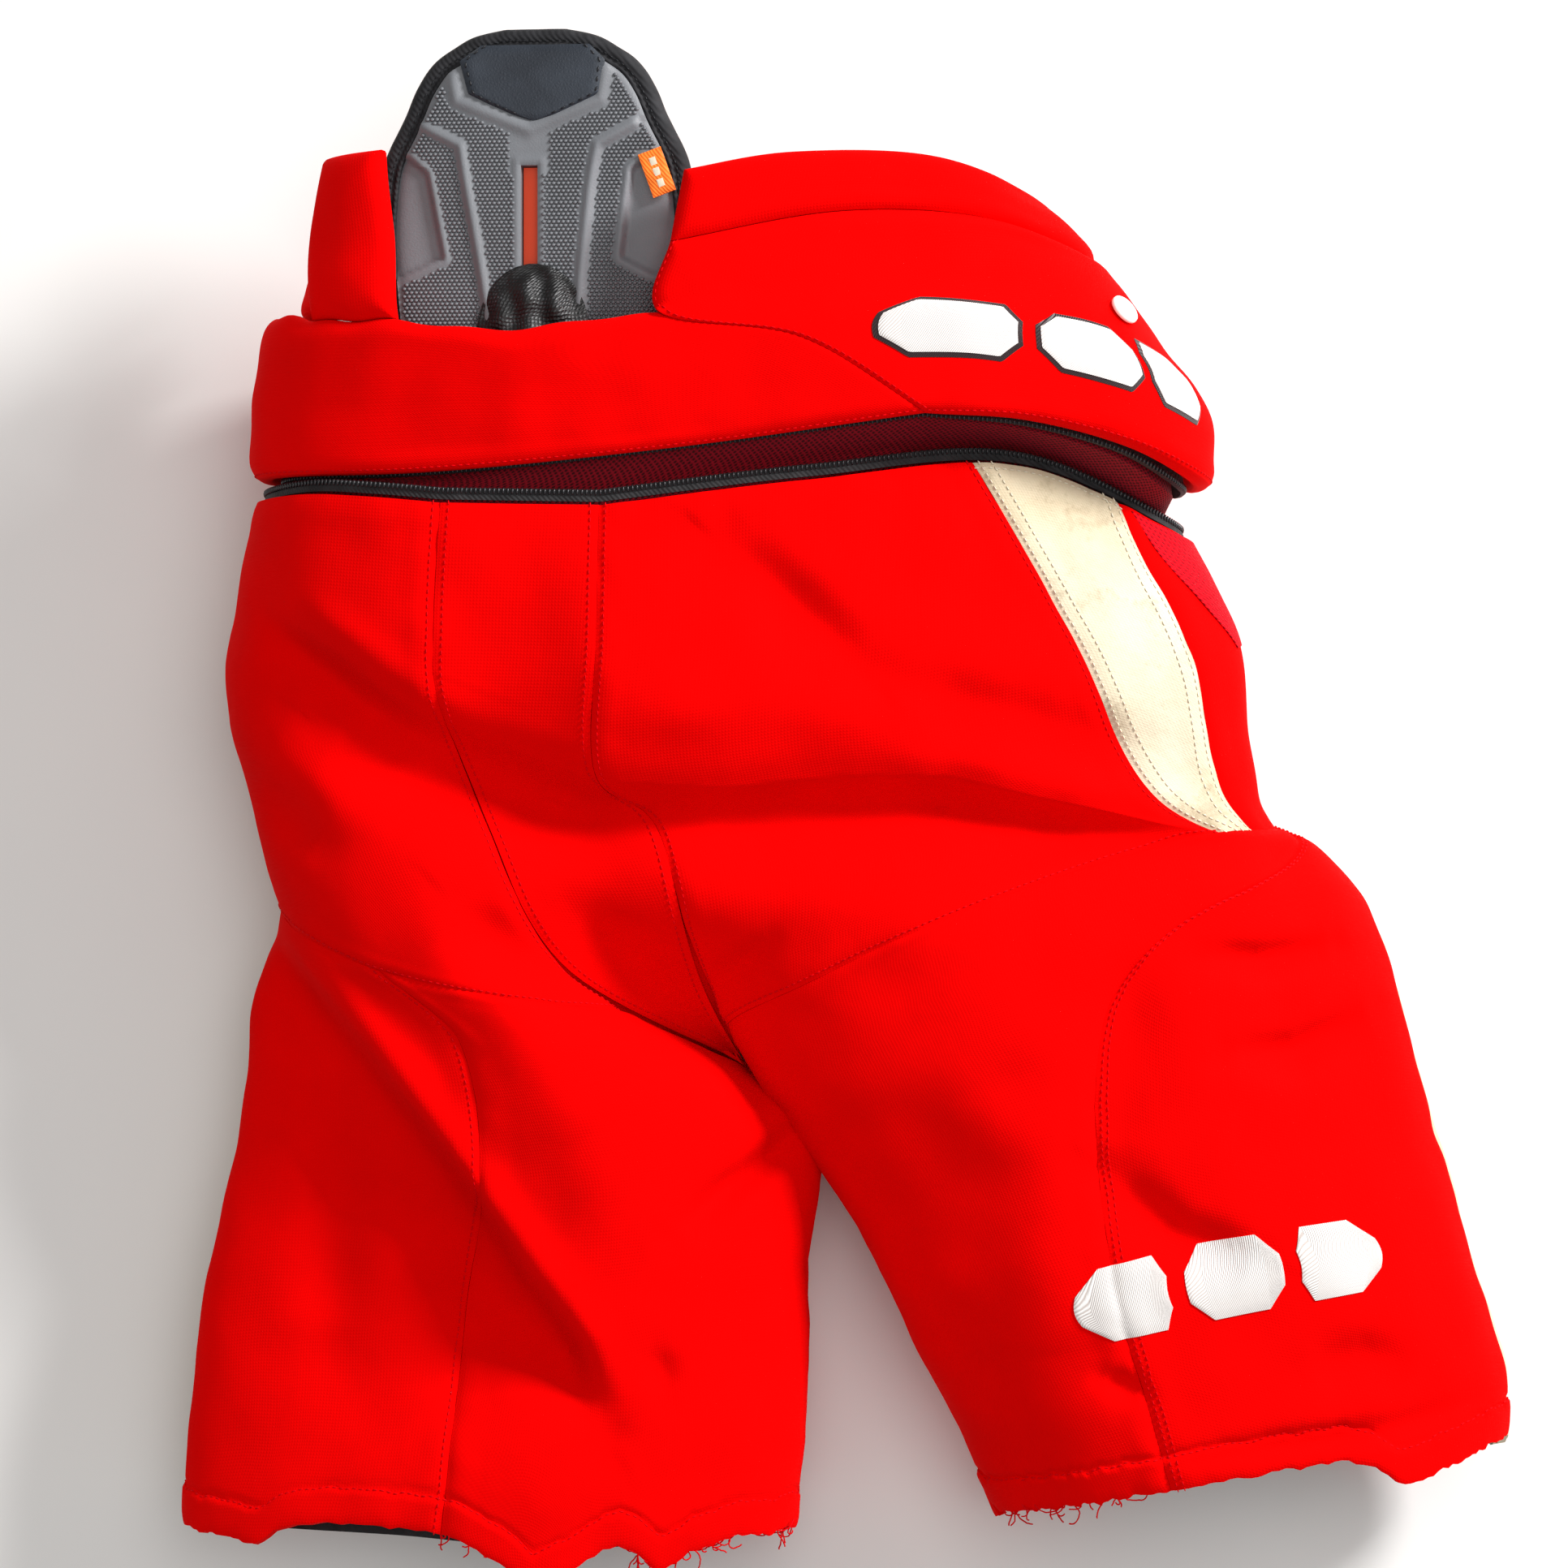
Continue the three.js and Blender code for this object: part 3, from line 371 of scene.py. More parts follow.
def creases(points):
    """How far the cloth of the back lies below its smooth skin, in millimetres."""
    flat = points.reshape(-1, 3)
    xy = flat[:, :2]
    depth = np.zeros(len(xy))
    for line, deep, right, left in FOLDS:
        distance, share = away_from(line, xy)
        width = np.where(distance > 0, left, right)
        ends = np.sin(np.pi * np.clip(share, 0.06, 0.94)) ** 0.7
        depth += deep * np.exp(-((distance / width) ** 2)) * ends
    distance, share = away_from(SEAT_CREASE, xy)
    ends = smooth(0, 0.08, share) * smooth(1, 0.8, share)
    below = np.clip(-distance, 0, None) / 15
    depth += ends * (14 * below * np.exp(1 - below) - 6 * np.exp(-(((distance - 8) / 11) ** 2)))
    distance, share = away_from(THIGH_RIDGE, xy)
    ends = smooth(0, 0.12, share) * smooth(1, 0.8, share)
    depth -= 5 * ends * np.exp(-(((distance - 6) / 9) ** 2))
    sharp = smooth(-2, 9, -distance) - smooth(-4, 24, -distance)
    hollow = 6 * smooth(0, 10, -distance) * np.exp(-(np.clip(-distance, 0, None) / 34) ** 2)
    depth += (26 * sharp + hollow) * ridge_strength(xy)
    return depth.reshape(points.shape[:-1])


# ---------- panels ----------
GRIDS = {}  # the face of each panel as made, for the stitching that is sewn on it


def spread_over(length, cell, tight):
    """Shares from 0 to 1 along a length, a cell apart, and closer at the ends where a seam turns the cloth in."""
    near = [0, 0.7, 1.6, 3, 5] if tight else [0]
    near = [x for x in near if x < length / 4]
    middle = max(2, math.ceil((length - 2 * near[-1]) / cell))
    inner = np.linspace(near[-1], length - near[-1], middle + 1)
    return np.concatenate([near[:-1], inner, [length - x for x in reversed(near[:-1])]]) / length


def distances(points):
    """How far each point of a grid is from its four edges: left, right, top and bottom."""
    across = np.cumsum(np.linalg.norm(np.diff(points, axis=1, prepend=points[:, :1]), axis=2), axis=1)
    down = np.cumsum(np.linalg.norm(np.diff(points, axis=0, prepend=points[:1]), axis=2), axis=0)
    return across, across[:, -1:] - across, down, down[-1:] - down


def lay_out(skin, left, right, top, bottom, cell, gap=0.5):
    """The (u, v) grid of a panel. left and right give its side edges for v, top and bottom its ends for u."""

    def place(s, t):
        u, v = s * 1.0, t * 1.0
        for _ in range(14):
            v = 0.4 * v + 0.6 * (top(u) + (bottom(u) - top(u)) * t)
            u = 0.4 * u + 0.6 * (left(v) + (right(v) - left(v)) * s)
        return u, v

    s, t = np.meshgrid(np.linspace(0, 1, 9), np.linspace(0, 1, 9))
    rough = skin.point(*place(s, t))
    wide = np.linalg.norm(np.diff(rough, axis=1), axis=2).sum(1).max()
    tall = np.linalg.norm(np.diff(rough, axis=0), axis=2).sum(0).max()
    tuck = gap / 2
    s = spread_over(wide, cell, True) * (1 - 2 * tuck / wide) + tuck / wide
    t = spread_over(tall, cell, True) * (1 - 2 * tuck / tall) + tuck / tall
    return place(*np.meshgrid(s, t))


def cloth_waves(points):
    """The soft waves of laid cloth, the same on both sides of a seam, from about -1 to 1."""
    return 0.9 * ripple(points, 105, 1) + 0.3 * ripple(points, 38, 2)


def sewn_cloth(points, seams, sizes, seed):
    """How far a smooth panel's face moves out as sewn cloth: drawn in at its seams and full beside them."""
    lift = np.zeros(points.shape[:2])
    for name, away in zip(("left", "right", "top", "bottom"), distances(points)):
        if name in seams:
            depth = sizes.seam_depth * 1000 * (0.45 if name in ("top", "bottom") else 1)
            lift -= depth * np.exp(-((away / 1.9) ** 2))
            lift += 0.5 * np.exp(-(((away - 8) / 5) ** 2))
            lift -= 0.3 * np.exp(-(away / 14)) * (1 + ripple(points, 16, seed + 5))
    return lift + sizes.wrinkle * 1000 * cloth_waves(points)


def creased(points, normals):
    """Points of the back, pressed straight down into its folds."""
    down = creases(points) * np.sqrt(np.clip(normals[..., 2], 0, 1))
    return points - np.stack([0 * down, 0 * down, down], axis=-1)


def touching(points, skin):
    """Moves the inner edges of the two legs until they lie against each other, the right one over the left."""
    x, y = points[..., 0], points[..., 1]
    if skin is LEFT:
        near = smooth(-105, -45, x) * np.exp(-(((y + 148) / 34) ** 2))
        return points + np.stack([11 * near, 0 * near, -7 * near], axis=-1)
    near = (1 - smooth(-20, 60, x)) * np.exp(-(((y + 140) / 38) ** 2))
    return points + np.stack([-5 * near, 0 * near, 5 * near * (points[..., 2] > 20)], axis=-1)


def solid(name, outer, inner, finish):
    """A closed mesh between two grids of points that face each other, in millimetres, with a UV map in centimetres."""
    rows, columns = outer.shape[:2]
    across, _, down, _ = distances(outer)
    index = np.arange(rows * columns).reshape(rows, columns)
    faces = [np.stack([index[:-1, :-1], index[1:, :-1], index[1:, 1:], index[:-1, 1:]], -1).reshape(-1, 4)]
    faces.append(faces[0][:, ::-1] + rows * columns)
    rim = np.concatenate([index[0, :-1], index[:-1, -1], index[-1, :0:-1], index[:0:-1, 0]])
    ahead = np.roll(rim, -1)
    faces.append(np.stack([rim, ahead, ahead + rows * columns, rim + rows * columns], -1))
    faces = np.concatenate(faces)
    points = to_metres(np.concatenate([outer.reshape(-1, 3), inner.reshape(-1, 3)]))
    a, b, c, d = (points[faces[:, k]] for k in range(4))
    volume = (np.einsum("ij,ij->i", a, np.cross(b, c)) + np.einsum("ij,ij->i", a, np.cross(c, d))).sum()
    if volume < 0:
        faces = faces[:, ::-1]
    mesh = bpy.data.meshes.new(name)
    mesh.from_pydata(points.tolist(), [], faces.tolist())
    flat = np.tile(np.stack([across, down], -1).reshape(-1, 2) / 10, (2, 1))
    mesh.uv_layers.new(name="cloth").data.foreach_set("uv", flat[faces.ravel()].ravel())
    mesh.shade_smooth()
    mesh.set_sharp_from_angle(angle=math.radians(55))
    piece = bpy.data.objects.new(name, mesh)
    bpy.context.collection.objects.link(piece)
    mesh.materials.append(finish)
    return piece


def put_on(piece, body, slot_name, *nodes):
    """Hangs a piece on its body when that is one named body, else bakes it where it lies, and hides the nodes it stands
    for. slot_name is not used.
    """
    if isinstance(body, str):
        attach(piece, body)
    else:
        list(body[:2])
        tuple(body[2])
        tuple(body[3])
        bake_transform(piece)
    if nodes:
        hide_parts(*nodes)
    return piece


def constant(value):
    """A panel's edge that stays at one value."""
    return lambda x: np.full(np.shape(x), float(value))


def listed(values, low, high):
    """A panel's edge through values spread evenly from low to high."""
    return lambda x: along(values, (np.asarray(x) - low) / (high - low))


# ---------- colours and materials ----------
def linear(code):
    """An sRGB hex code as linear red, green and blue."""
    parts = [int(code[i : i + 2], 16) / 255 for i in (1, 3, 5)]
    return tuple(x / 12.92 if x <= 0.04045 else ((x + 0.055) / 1.055) ** 2.4 for x in parts)


def add_node(tree, kind, inputs=None, **settings):
    """Adds a node with its settings. An input is a value, or a socket that is linked to it."""
    node = tree.nodes.new(kind)
    for key, value in settings.items():
        setattr(node, key, value)
    for key, value in (inputs or {}).items():
        if isinstance(value, bpy.types.NodeSocket):
            tree.links.new(value, node.inputs[key])
        else:
            node.inputs[key].default_value = value
    return node


def new_material(name):
    """A material with an empty node tree."""
    material = bpy.data.materials.new(name)
    material.use_nodes = True
    material.node_tree.nodes.clear()
    return material, material.node_tree


def surface(tree, colour, bump=None, **values):
    """Ends a material in its shader. Values are constants on the shader's own sockets."""
    inputs = {"Base Color": colour if isinstance(colour, bpy.types.NodeSocket) else (*colour, 1)}
    inputs |= {key.replace("_", " "): value for key, value in values.items()}
    if bump is not None:
        inputs["Normal"] = bump
    shader = add_node(tree, "ShaderNodeBsdfPrincipled", inputs)
    add_node(tree, "ShaderNodeOutputMaterial", {"Surface": shader.outputs[0]})


def ramp(tree, factor, stops):
    """A colour ramp through stops of place and colour."""
    node = add_node(tree, "ShaderNodeValToRGB", {"Fac": factor})
    while len(node.color_ramp.elements) < len(stops):
        node.color_ramp.elements.new(0.5)
    for element, (place, colour) in zip(node.color_ramp.elements, stops):
        element.position = place
        element.color = (*colour, 1)
    return node.outputs["Color"]


def woven(name, base, dull, pitch, height, roughness, stains=None, specular=0.2, crumpled=1.2):
    """Plain woven cloth: threads pitch mm apart on the panel's own UV map, with worn and faded patches."""
    material, tree = new_material(name)
    uv = add_node(tree, "ShaderNodeUVMap", uv_map="cloth").outputs[0]
    place = add_node(tree, "ShaderNodeTexCoord").outputs["Object"]
    scale = 0.314 / (pitch / 10)
    warp = add_node(tree, "ShaderNodeTexWave", {"Vector": uv, "Scale": scale, "Distortion": 0.6}, bands_direction="X")
    weft = add_node(tree, "ShaderNodeTexWave", {"Vector": uv, "Scale": scale, "Distortion": 0.6}, bands_direction="Y")
    weave = add_node(tree, "ShaderNodeMath", {0: warp.outputs["Fac"], 1: weft.outputs["Fac"]}, operation="MULTIPLY")
    fade = add_node(tree, "ShaderNodeTexNoise", {"Vector": place, "Scale": 9, "Detail": 6, "Roughness": 0.65})
    colour = ramp(tree, fade.outputs["Fac"], [(0.3, base), (0.75, dull)])
    if stains:
        spot = add_node(tree, "ShaderNodeTexNoise", {"Vector": place, "Scale": 34, "Detail": 8, "Roughness": 0.72})
        amount = ramp(tree, spot.outputs["Fac"], [(0.54, (0, 0, 0)), (0.78, (0.8, 0.8, 0.8))])
        mixed = add_node(tree, "ShaderNodeMix", {0: amount, 6: colour, 7: (*stains, 1)}, data_type="RGBA")
        colour = mixed.outputs[2]
    crumple = add_node(tree, "ShaderNodeTexNoise", {"Vector": place, "Scale": 55, "Detail": 5, "Roughness": 0.6})
    soft = add_node(tree, "ShaderNodeBump", {"Height": crumple.outputs["Fac"], "Strength": 0.25,
        "Distance": crumpled / 1000})
    bump = add_node(
        tree, "ShaderNodeBump", {"Height": weave.outputs[0], "Strength": 0.35, "Distance": height / 1000,
        "Normal": soft.outputs[0]}
    )
    surface(
        tree, colour, bump.outputs[0], Roughness=roughness, IOR=1.53, Specular_IOR_Level=specular,
    )
    return material


def red_nylon(colours):
    """Dyed nylon, plain woven with a matt coating: strong even red, threads drawn at 1.5 mm so that they show."""
    return woven("woven_nylon_red", colours.nylon, linear("#dc0000"), 1.5, 0.25, 0.9, specular=0.03)


def white_nylon(colours):
    """Coated white nylon, yellowed and stained by ice and boards, and crumpled."""
    return woven(
        "woven_nylon_stained_white", colours.stripe, linear("#bfae8c"), 1.5, 0.2, 0.6, stains=linear("#7c6744"),
        crumpled=4.5
    )


def extension_net(colours):
    """Warp-knit polyester net: dark red, dull, with a fine diagonal mesh of holes 2 mm apart."""
    material, tree = new_material("knit_net_maroon")
    uv = add_node(tree, "ShaderNodeUVMap", uv_map="cloth").outputs[0]
    turned = add_node(tree, "ShaderNodeMapping", {"Vector": uv, "Rotation": (0, 0, 0.78)})
    cells = add_node(tree, "ShaderNodeTexVoronoi", {"Vector": turned.outputs[0], "Scale": 5, "Randomness": 0.15})
    colour = ramp(tree, cells.outputs["Distance"], [(0.2, linear("#3d0009")), (0.5, colours.net)])
    bump = add_node(tree, "ShaderNodeBump", {"Height": cells.outputs["Distance"], "Strength": 0.7, "Distance": 0.0006})
    surface(tree, colour, bump.outputs[0], Roughness=0.85, IOR=1.5, Specular_IOR_Level=0.25)
    return material


def stretch_net(colours):
    """Black elastic net over the guard's foot: glossy strands round holes 1.8 mm wide that show the grey foam."""
    material, tree = new_material("stretch_net_black")
    uv = add_node(tree, "ShaderNodeUVMap", uv_map="cloth").outputs[0]
    cells = add_node(tree, "ShaderNodeTexVoronoi", {"Vector": uv, "Scale": 5.5, "Randomness": 0.25})
    tone = add_node(tree, "ShaderNodeTexNoise", {"Vector": uv, "Scale": 1.2, "Detail": 3})
    holes = ramp(tree, cells.outputs["Distance"], [(0.12, linear("#4c4d51")), (0.3, linear("#050506"))])
    shade = ramp(tree, tone.outputs["Fac"], [(0.4, (0.05, 0.05, 0.05)), (0.65, (1, 1, 1))])
    colour = add_node(tree, "ShaderNodeMix", {0: 1.0, 6: holes, 7: shade}, data_type="RGBA", blend_type="MULTIPLY")
    bump = add_node(tree, "ShaderNodeBump", {"Height": cells.outputs["Distance"], "Strength": 0.8, "Distance": 0.0006})
    surface(tree, colour.outputs[2], bump.outputs[0], Roughness=0.45, Specular_IOR_Level=0.5)
    return material


def side_net(colours):
    """Red open net at the hip: round holes 3 mm apart that show darker cloth below."""
    material, tree = new_material("hip_net_red")
    uv = add_node(tree, "ShaderNodeUVMap", uv_map="cloth").outputs[0]
    cells = add_node(tree, "ShaderNodeTexVoronoi", {"Vector": uv, "Scale": 3.2, "Randomness": 0.1})
    colour = ramp(tree, cells.outputs["Distance"], [(0.18, linear("#7c0010")), (0.36, linear("#e00014"))])
    bump = add_node(tree, "ShaderNodeBump", {"Height": cells.outputs["Distance"], "Strength": 0.8, "Distance": 0.0009})
    surface(tree, colour, bump.outputs[0], Roughness=0.8, Specular_IOR_Level=0.1)
    return material


def tape(name, base, pitch, roughness=0.7, specular=0.35):
    """Woven polyester tape: fine ribs across it, dull black with a faint grey wear."""
    material, tree = new_material(name)
    place = add_node(tree, "ShaderNodeTexCoord").outputs["Object"]
    ribs = add_node(tree, "ShaderNodeTexWave", {"Vector": place, "Scale": 314 / pitch, "Distortion": 1.2},
        bands_direction="DIAGONAL")
    wear = add_node(tree, "ShaderNodeTexNoise", {"Vector": place, "Scale": 120, "Detail": 4})
    colour = ramp(tree, wear.outputs["Fac"], [(0.35, base), (0.8, tuple(x * 1.8 + 0.012 for x in base))])
    bump = add_node(tree, "ShaderNodeBump", {"Height": ribs.outputs["Fac"], "Strength": 0.5, "Distance": 0.0004})
    surface(tree, colour, bump.outputs[0], Roughness=roughness, IOR=1.5, Specular_IOR_Level=specular)
    return material


def moulded(name, base, grain, strength, roughness, specular=0.5, metallic=0.0, spread=1.25, coat=0.0):
    """A moulded or cast surface: one colour with a fine grain and a little wear."""
    material, tree = new_material(name)
    place = add_node(tree, "ShaderNodeTexCoord").outputs["Object"]
    fine = add_node(tree, "ShaderNodeTexNoise", {"Vector": place, "Scale": 1000 / grain, "Detail": 3, "Roughness": 0.6})
    broad = add_node(tree, "ShaderNodeTexNoise", {"Vector": place, "Scale": 28, "Detail": 5, "Roughness": 0.6})
    colour = ramp(tree, broad.outputs["Fac"], [(0.3, base), (0.75, tuple(min(1.0, x * spread) for x in base))])
    bump = add_node(tree, "ShaderNodeBump", {"Height": fine.outputs["Fac"], "Strength": strength, "Distance": 0.0004})
    surface(
        tree, colour, bump.outputs[0], Roughness=roughness, Metallic=metallic, Specular_IOR_Level=specular,
        Coat_Weight=coat
    )
    return material


def leather_patch(colours):
    """Embossed synthetic leather, near black with a blue cast, with pores 1.5 mm apart."""
    material, tree = new_material("synthetic_leather_dark")
    place = add_node(tree, "ShaderNodeTexCoord").outputs["Object"]
    pores = add_node(tree, "ShaderNodeTexVoronoi", {"Vector": place, "Scale": 650}, feature="DISTANCE_TO_EDGE")
    tone = add_node(tree, "ShaderNodeTexNoise", {"Vector": place, "Scale": 40, "Detail": 5})
    colour = ramp(tree, tone.outputs["Fac"], [(0.3, linear("#1c222b")), (0.75, linear("#323943"))])
    bump = add_node(tree, "ShaderNodeBump", {"Height": pores.outputs["Distance"], "Strength": 0.35, "Distance": 0.0005})
    surface(tree, colour, bump.outputs[0], Roughness=0.52, Specular_IOR_Level=0.45)
    return material


def embroidery(name, base, edge):
    """Satin stitch in glossy rayon thread: threads laid side by side 0.9 mm apart, drawn coarse enough to show."""
    material, tree = new_material(name)
    uv = add_node(tree, "ShaderNodeUVMap", uv_map="cloth").outputs[0]
    turned = add_node(tree, "ShaderNodeMapping", {"Vector": uv, "Rotation": (0, 0, 0.5)})
    threads = add_node(tree, "ShaderNodeTexWave", {"Vector": turned.outputs[0], "Scale": 3.5, "Distortion": 0.4})
    colour = ramp(tree, threads.outputs["Fac"], [(0.05, edge), (0.5, base)])
    bump = add_node(tree, "ShaderNodeBump", {"Height": threads.outputs["Fac"], "Strength": 0.6, "Distance": 0.0005})
    surface(tree, colour, bump.outputs[0], Roughness=0.45, Specular_IOR_Level=0.4, Sheen_Weight=0.15)
    return material


def paper_floor():
    """Matt seamless paper: plain, pale and slightly warm, without shine."""
    material, tree = new_material("matt_paper_pale")
    place = add_node(tree, "ShaderNodeTexCoord").outputs["Object"]
    tone = add_node(tree, "ShaderNodeTexNoise", {"Vector": place, "Scale": 3, "Detail": 3})
    colour = ramp(tree, tone.outputs["Fac"], [(0.3, linear("#efeeec")), (0.7, linear("#f4f2ef"))])
    surface(tree, colour, Roughness=0.9, Specular_IOR_Level=0.1)
    return material


MAKERS = {
    "red": red_nylon,
    "white": white_nylon,
    "net": extension_net,
    "tape": lambda c: tape("woven_tape_black", linear("#121214"), 1.2),
    "coil": lambda c: moulded("nylon_coil_black", linear("#1d1d20"), 0.6, 0.1, 0.32, 0.5),
    "binding": lambda c: tape("ribbed_binding_black", linear("#17171a"), 1.6, 0.75, 0.3),
    "foam": lambda c: moulded("moulded_foam_grey", c.foam, 0.9, 0.35, 0.5, 0.42, spread=1.3),
    "patch": leather_patch,
    "sleeve": stretch_net,
    "side_net": side_net,
    "orange": lambda c: moulded("moulded_rubber_orange", c.orange, 1.5, 0.1, 0.45, 0.4, spread=1.1),
    "tag": lambda c: tape("woven_label_orange", linear("#f2701a"), 1.0, 0.6, 0.3),
    "white_thread": lambda c: embroidery("satin_stitch_white", linear("#f3efec"), linear("#c9bdb6")),
    "dark_thread": lambda c: embroidery("satin_stitch_dark", linear("#2a1014"), linear("#140609")),
    "red_thread": lambda c: moulded("polyester_thread_red", linear("#c80008"), 0.5, 0.2, 0.8, 0.08),
    "pale_thread": lambda c: moulded("polyester_thread_pale", linear("#d8cfb8"), 0.5, 0.2, 0.6, 0.3),
    "black_thread": lambda c: moulded("polyester_thread_black", linear("#14151a"), 0.5, 0.2, 0.5, 0.4),
    "liner": lambda c: tape("knit_liner_black", linear("#141416"), 2.0),
    "pad": lambda c: moulded("closed_cell_foam_dark", linear("#2b2c30"), 1.2, 0.5, 0.85, 0.2),
    "plastic": lambda c: moulded("polyethylene_shell_dark", linear("#1d1f24"), 0.8, 0.15, 0.42, 0.5),
    "acetal": lambda c: moulded("acetal_buckle_black", linear("#16171a"), 0.5, 0.12, 0.36, 0.5),
    "button": lambda c: moulded("polyester_button_white", linear("#f4f1ea"), 2.0, 0.05, 0.22, 0.5, spread=1.03,
    coat=0.3),
    "webbing": lambda c: tape("nylon_webbing_black", linear("#131315"), 1.6),
    "metal": lambda c: moulded("die_cast_zinc", linear("#8f9195"), 0.6, 0.1, 0.34, 0.5, metallic=1.0, spread=1.1),
}
FINISHES = {}


def finish(name):
    """A finish by its name, made once."""
    if name not in FINISHES:
        FINISHES[name] = MAKERS[name](bpy.context.scene.pants_colours)
    return FINISHES[name]


# ---------- what repeats along a seam or over a face ----------
def settle(piece):
    """Turns a piece's modifiers into its mesh."""
    graph = bpy.context.evaluated_depsgraph_get()
    mesh = bpy.data.meshes.new_from_object(piece.evaluated_get(graph), depsgraph=graph)
    piece.modifiers.clear()
    piece.data = mesh
    return piece


def repeat_tree(name, on_line):
    """Sets a small bead along lines, or on each point: threads of a seam, teeth of a zip, studs of a moulding."""
    tree = bpy.data.node_groups.new(name, "GeometryNodeTree")
    tree.interface.new_socket("Geometry", in_out="OUTPUT", socket_type="NodeSocketGeometry")
    tree.interface.new_socket("Geometry", in_out="INPUT", socket_type="NodeSocketGeometry")
    for label, value in (("Pitch", 0.003), ("Length", 0.002), ("Width", 0.0006), ("Height", 0.0006), ("Tilt", 0.0)):
        socket = tree.interface.new_socket(label, in_out="INPUT", socket_type="NodeSocketFloat")
        socket.default_value = value
    tree.interface.new_socket("Finish", in_out="INPUT", socket_type="NodeSocketMaterial")
    given = add_node(tree, "NodeGroupInput").outputs
    size = add_node(tree, "ShaderNodeCombineXYZ", {"X": given["Length"], "Y": given["Width"], "Z": given["Height"]})
    if on_line:
        line = add_node(tree, "GeometryNodeMeshToCurve", {"Mesh": given["Geometry"]})
        even = add_node(tree, "GeometryNodeResampleCurve", {"Curve": line.outputs[0], "Length": given["Pitch"]},
            mode="LENGTH")
        ahead = add_node(tree, "GeometryNodeInputTangent")
        turn = add_node(tree, "FunctionNodeAlignRotationToVector", {"Vector": ahead.outputs[0]}, axis="X")
        bead = add_node(tree, "GeometryNodeMeshUVSphere", {"Segments": 6, "Rings": 4, "Radius": 0.5})
        points, rotation = even.outputs[0], turn.outputs[0]
    else:
        lean = add_node(tree, "ShaderNodeCombineXYZ", {"Y": given["Tilt"]})
        turn = add_node(tree, "FunctionNodeEulerToRotation", {"Euler": lean.outputs[0]})
        bead = add_node(
            tree, "GeometryNodeMeshCone", {"Vertices": 6, "Radius Top": 0.3, "Radius Bottom": 0.56, "Depth": 1.0},
            fill_type="NGON"
        )
        points, rotation = given["Geometry"], turn.outputs[0]
    copies = add_node(
        tree, "GeometryNodeInstanceOnPoints",
        {"Points": points, "Instance": bead.outputs[0], "Rotation": rotation, "Scale": size.outputs[0]},
    )
    real = add_node(tree, "GeometryNodeRealizeInstances", {"Geometry": copies.outputs[0]})
    coloured = add_node(tree, "GeometryNodeSetMaterial", {"Geometry": real.outputs[0], "Material": given["Finish"]})
    add_node(tree, "NodeGroupOutput", {"Geometry": coloured.outputs[0]})
    return tree


def repeated(name, lines, tree_name, body, slot_name, pitch, size, coat, tilt=0.0):
    """Runs a repeat tree over lines or points in metres and hangs the result on its body when that is one named body.
    """
    on_line = isinstance(lines, list)
    lines = lines if on_line else [lines]
    ends = np.cumsum([len(line) for line in lines])
    points = np.concatenate(lines)
    edges = []
    if on_line:
        edges = [(k, k + 1) for k in range(len(points) - 1) if k + 1 not in ends]
    mesh = bpy.data.meshes.new(name)
    mesh.from_pydata(points.tolist(), edges, [])
    piece = bpy.data.objects.new(name, mesh)
    bpy.context.collection.objects.link(piece)
    tree = bpy.data.node_groups.get(tree_name) or repeat_tree(tree_name, on_line)
    modifier = piece.modifiers.new("repeat", "NODES")
    modifier.node_group = tree
    sockets = {item.name: item.identifier for item in tree.interface.items_tree if item.in_out == "INPUT"}
    values = {"Pitch": pitch, "Length": size[0], "Width": size[1], "Height": size[2], "Tilt": tilt}
    for label, value in values.items():
        modifier[sockets[label]] = float(value)
    modifier[sockets["Finish"]] = finish(coat)
    settle(piece)
    piece.data.shade_smooth()
    return put_on(piece, body, slot_name)


def cloth_height(panels, points, normals):
    """How far the cloth of some panels stands out from points of their smooth skin."""
    heights = np.full(len(points), -1e9)
    for name in panels:
        grid = GRIDS[name][0]
        rows, columns = grid.shape[:2]
        index = np.arange(rows * columns).reshape(rows, columns)
        faces = np.stack([index[:-1, :-1], index[1:, :-1], index[1:, 1:], index[:-1, 1:]], -1).reshape(-1, 4)
        tree = BVHTree.FromPolygons(grid.reshape(-1, 3).tolist(), faces.tolist())
        for k, (p, n) in enumerate(zip(points, normals)):
            hit = tree.ray_cast(Vector(p + 25 * n), Vector(-n), 60)
            if hit[0] is not None:
                heights[k] = max(heights[k], 25 - hit[3])
    missed = heights < -1e8
    heights[missed] = heights[~missed].mean() if (~missed).any() else 0
    return heights


def edge_line(name, edge, inset, start=0.0, end=1.0, lift=0.25):
    """A line in metres on a panel's face, inset mm from one of its edges."""
    grid, normals = GRIDS[name]
    left, right, top, bottom = distances(grid)
    away = {"left": left, "right": right, "top": top, "bottom": bottom}[edge]
    if edge in ("top", "bottom"):
        grid, normals, away = grid.transpose(1, 0, 2), normals.transpose(1, 0, 2), away.T
    if edge in ("right", "bottom"):
        grid, normals, away = grid[:, ::-1], normals[:, ::-1], away[:, ::-1]
    line = []
    for row, out, d in zip(grid, normals, away):
        k = max(1, int(np.searchsorted(d, inset)))
        k = min(k, len(d) - 1)
        f = (inset - d[k - 1]) / max(d[k] - d[k - 1], 1e-6)
        line.append(row[k - 1] + f * (row[k] - row[k - 1]) + out[k] * lift)
    line = to_metres(line)
    low, high = (round(x * (len(line) - 1)) for x in (start, end))
    return line[low : high + 1]


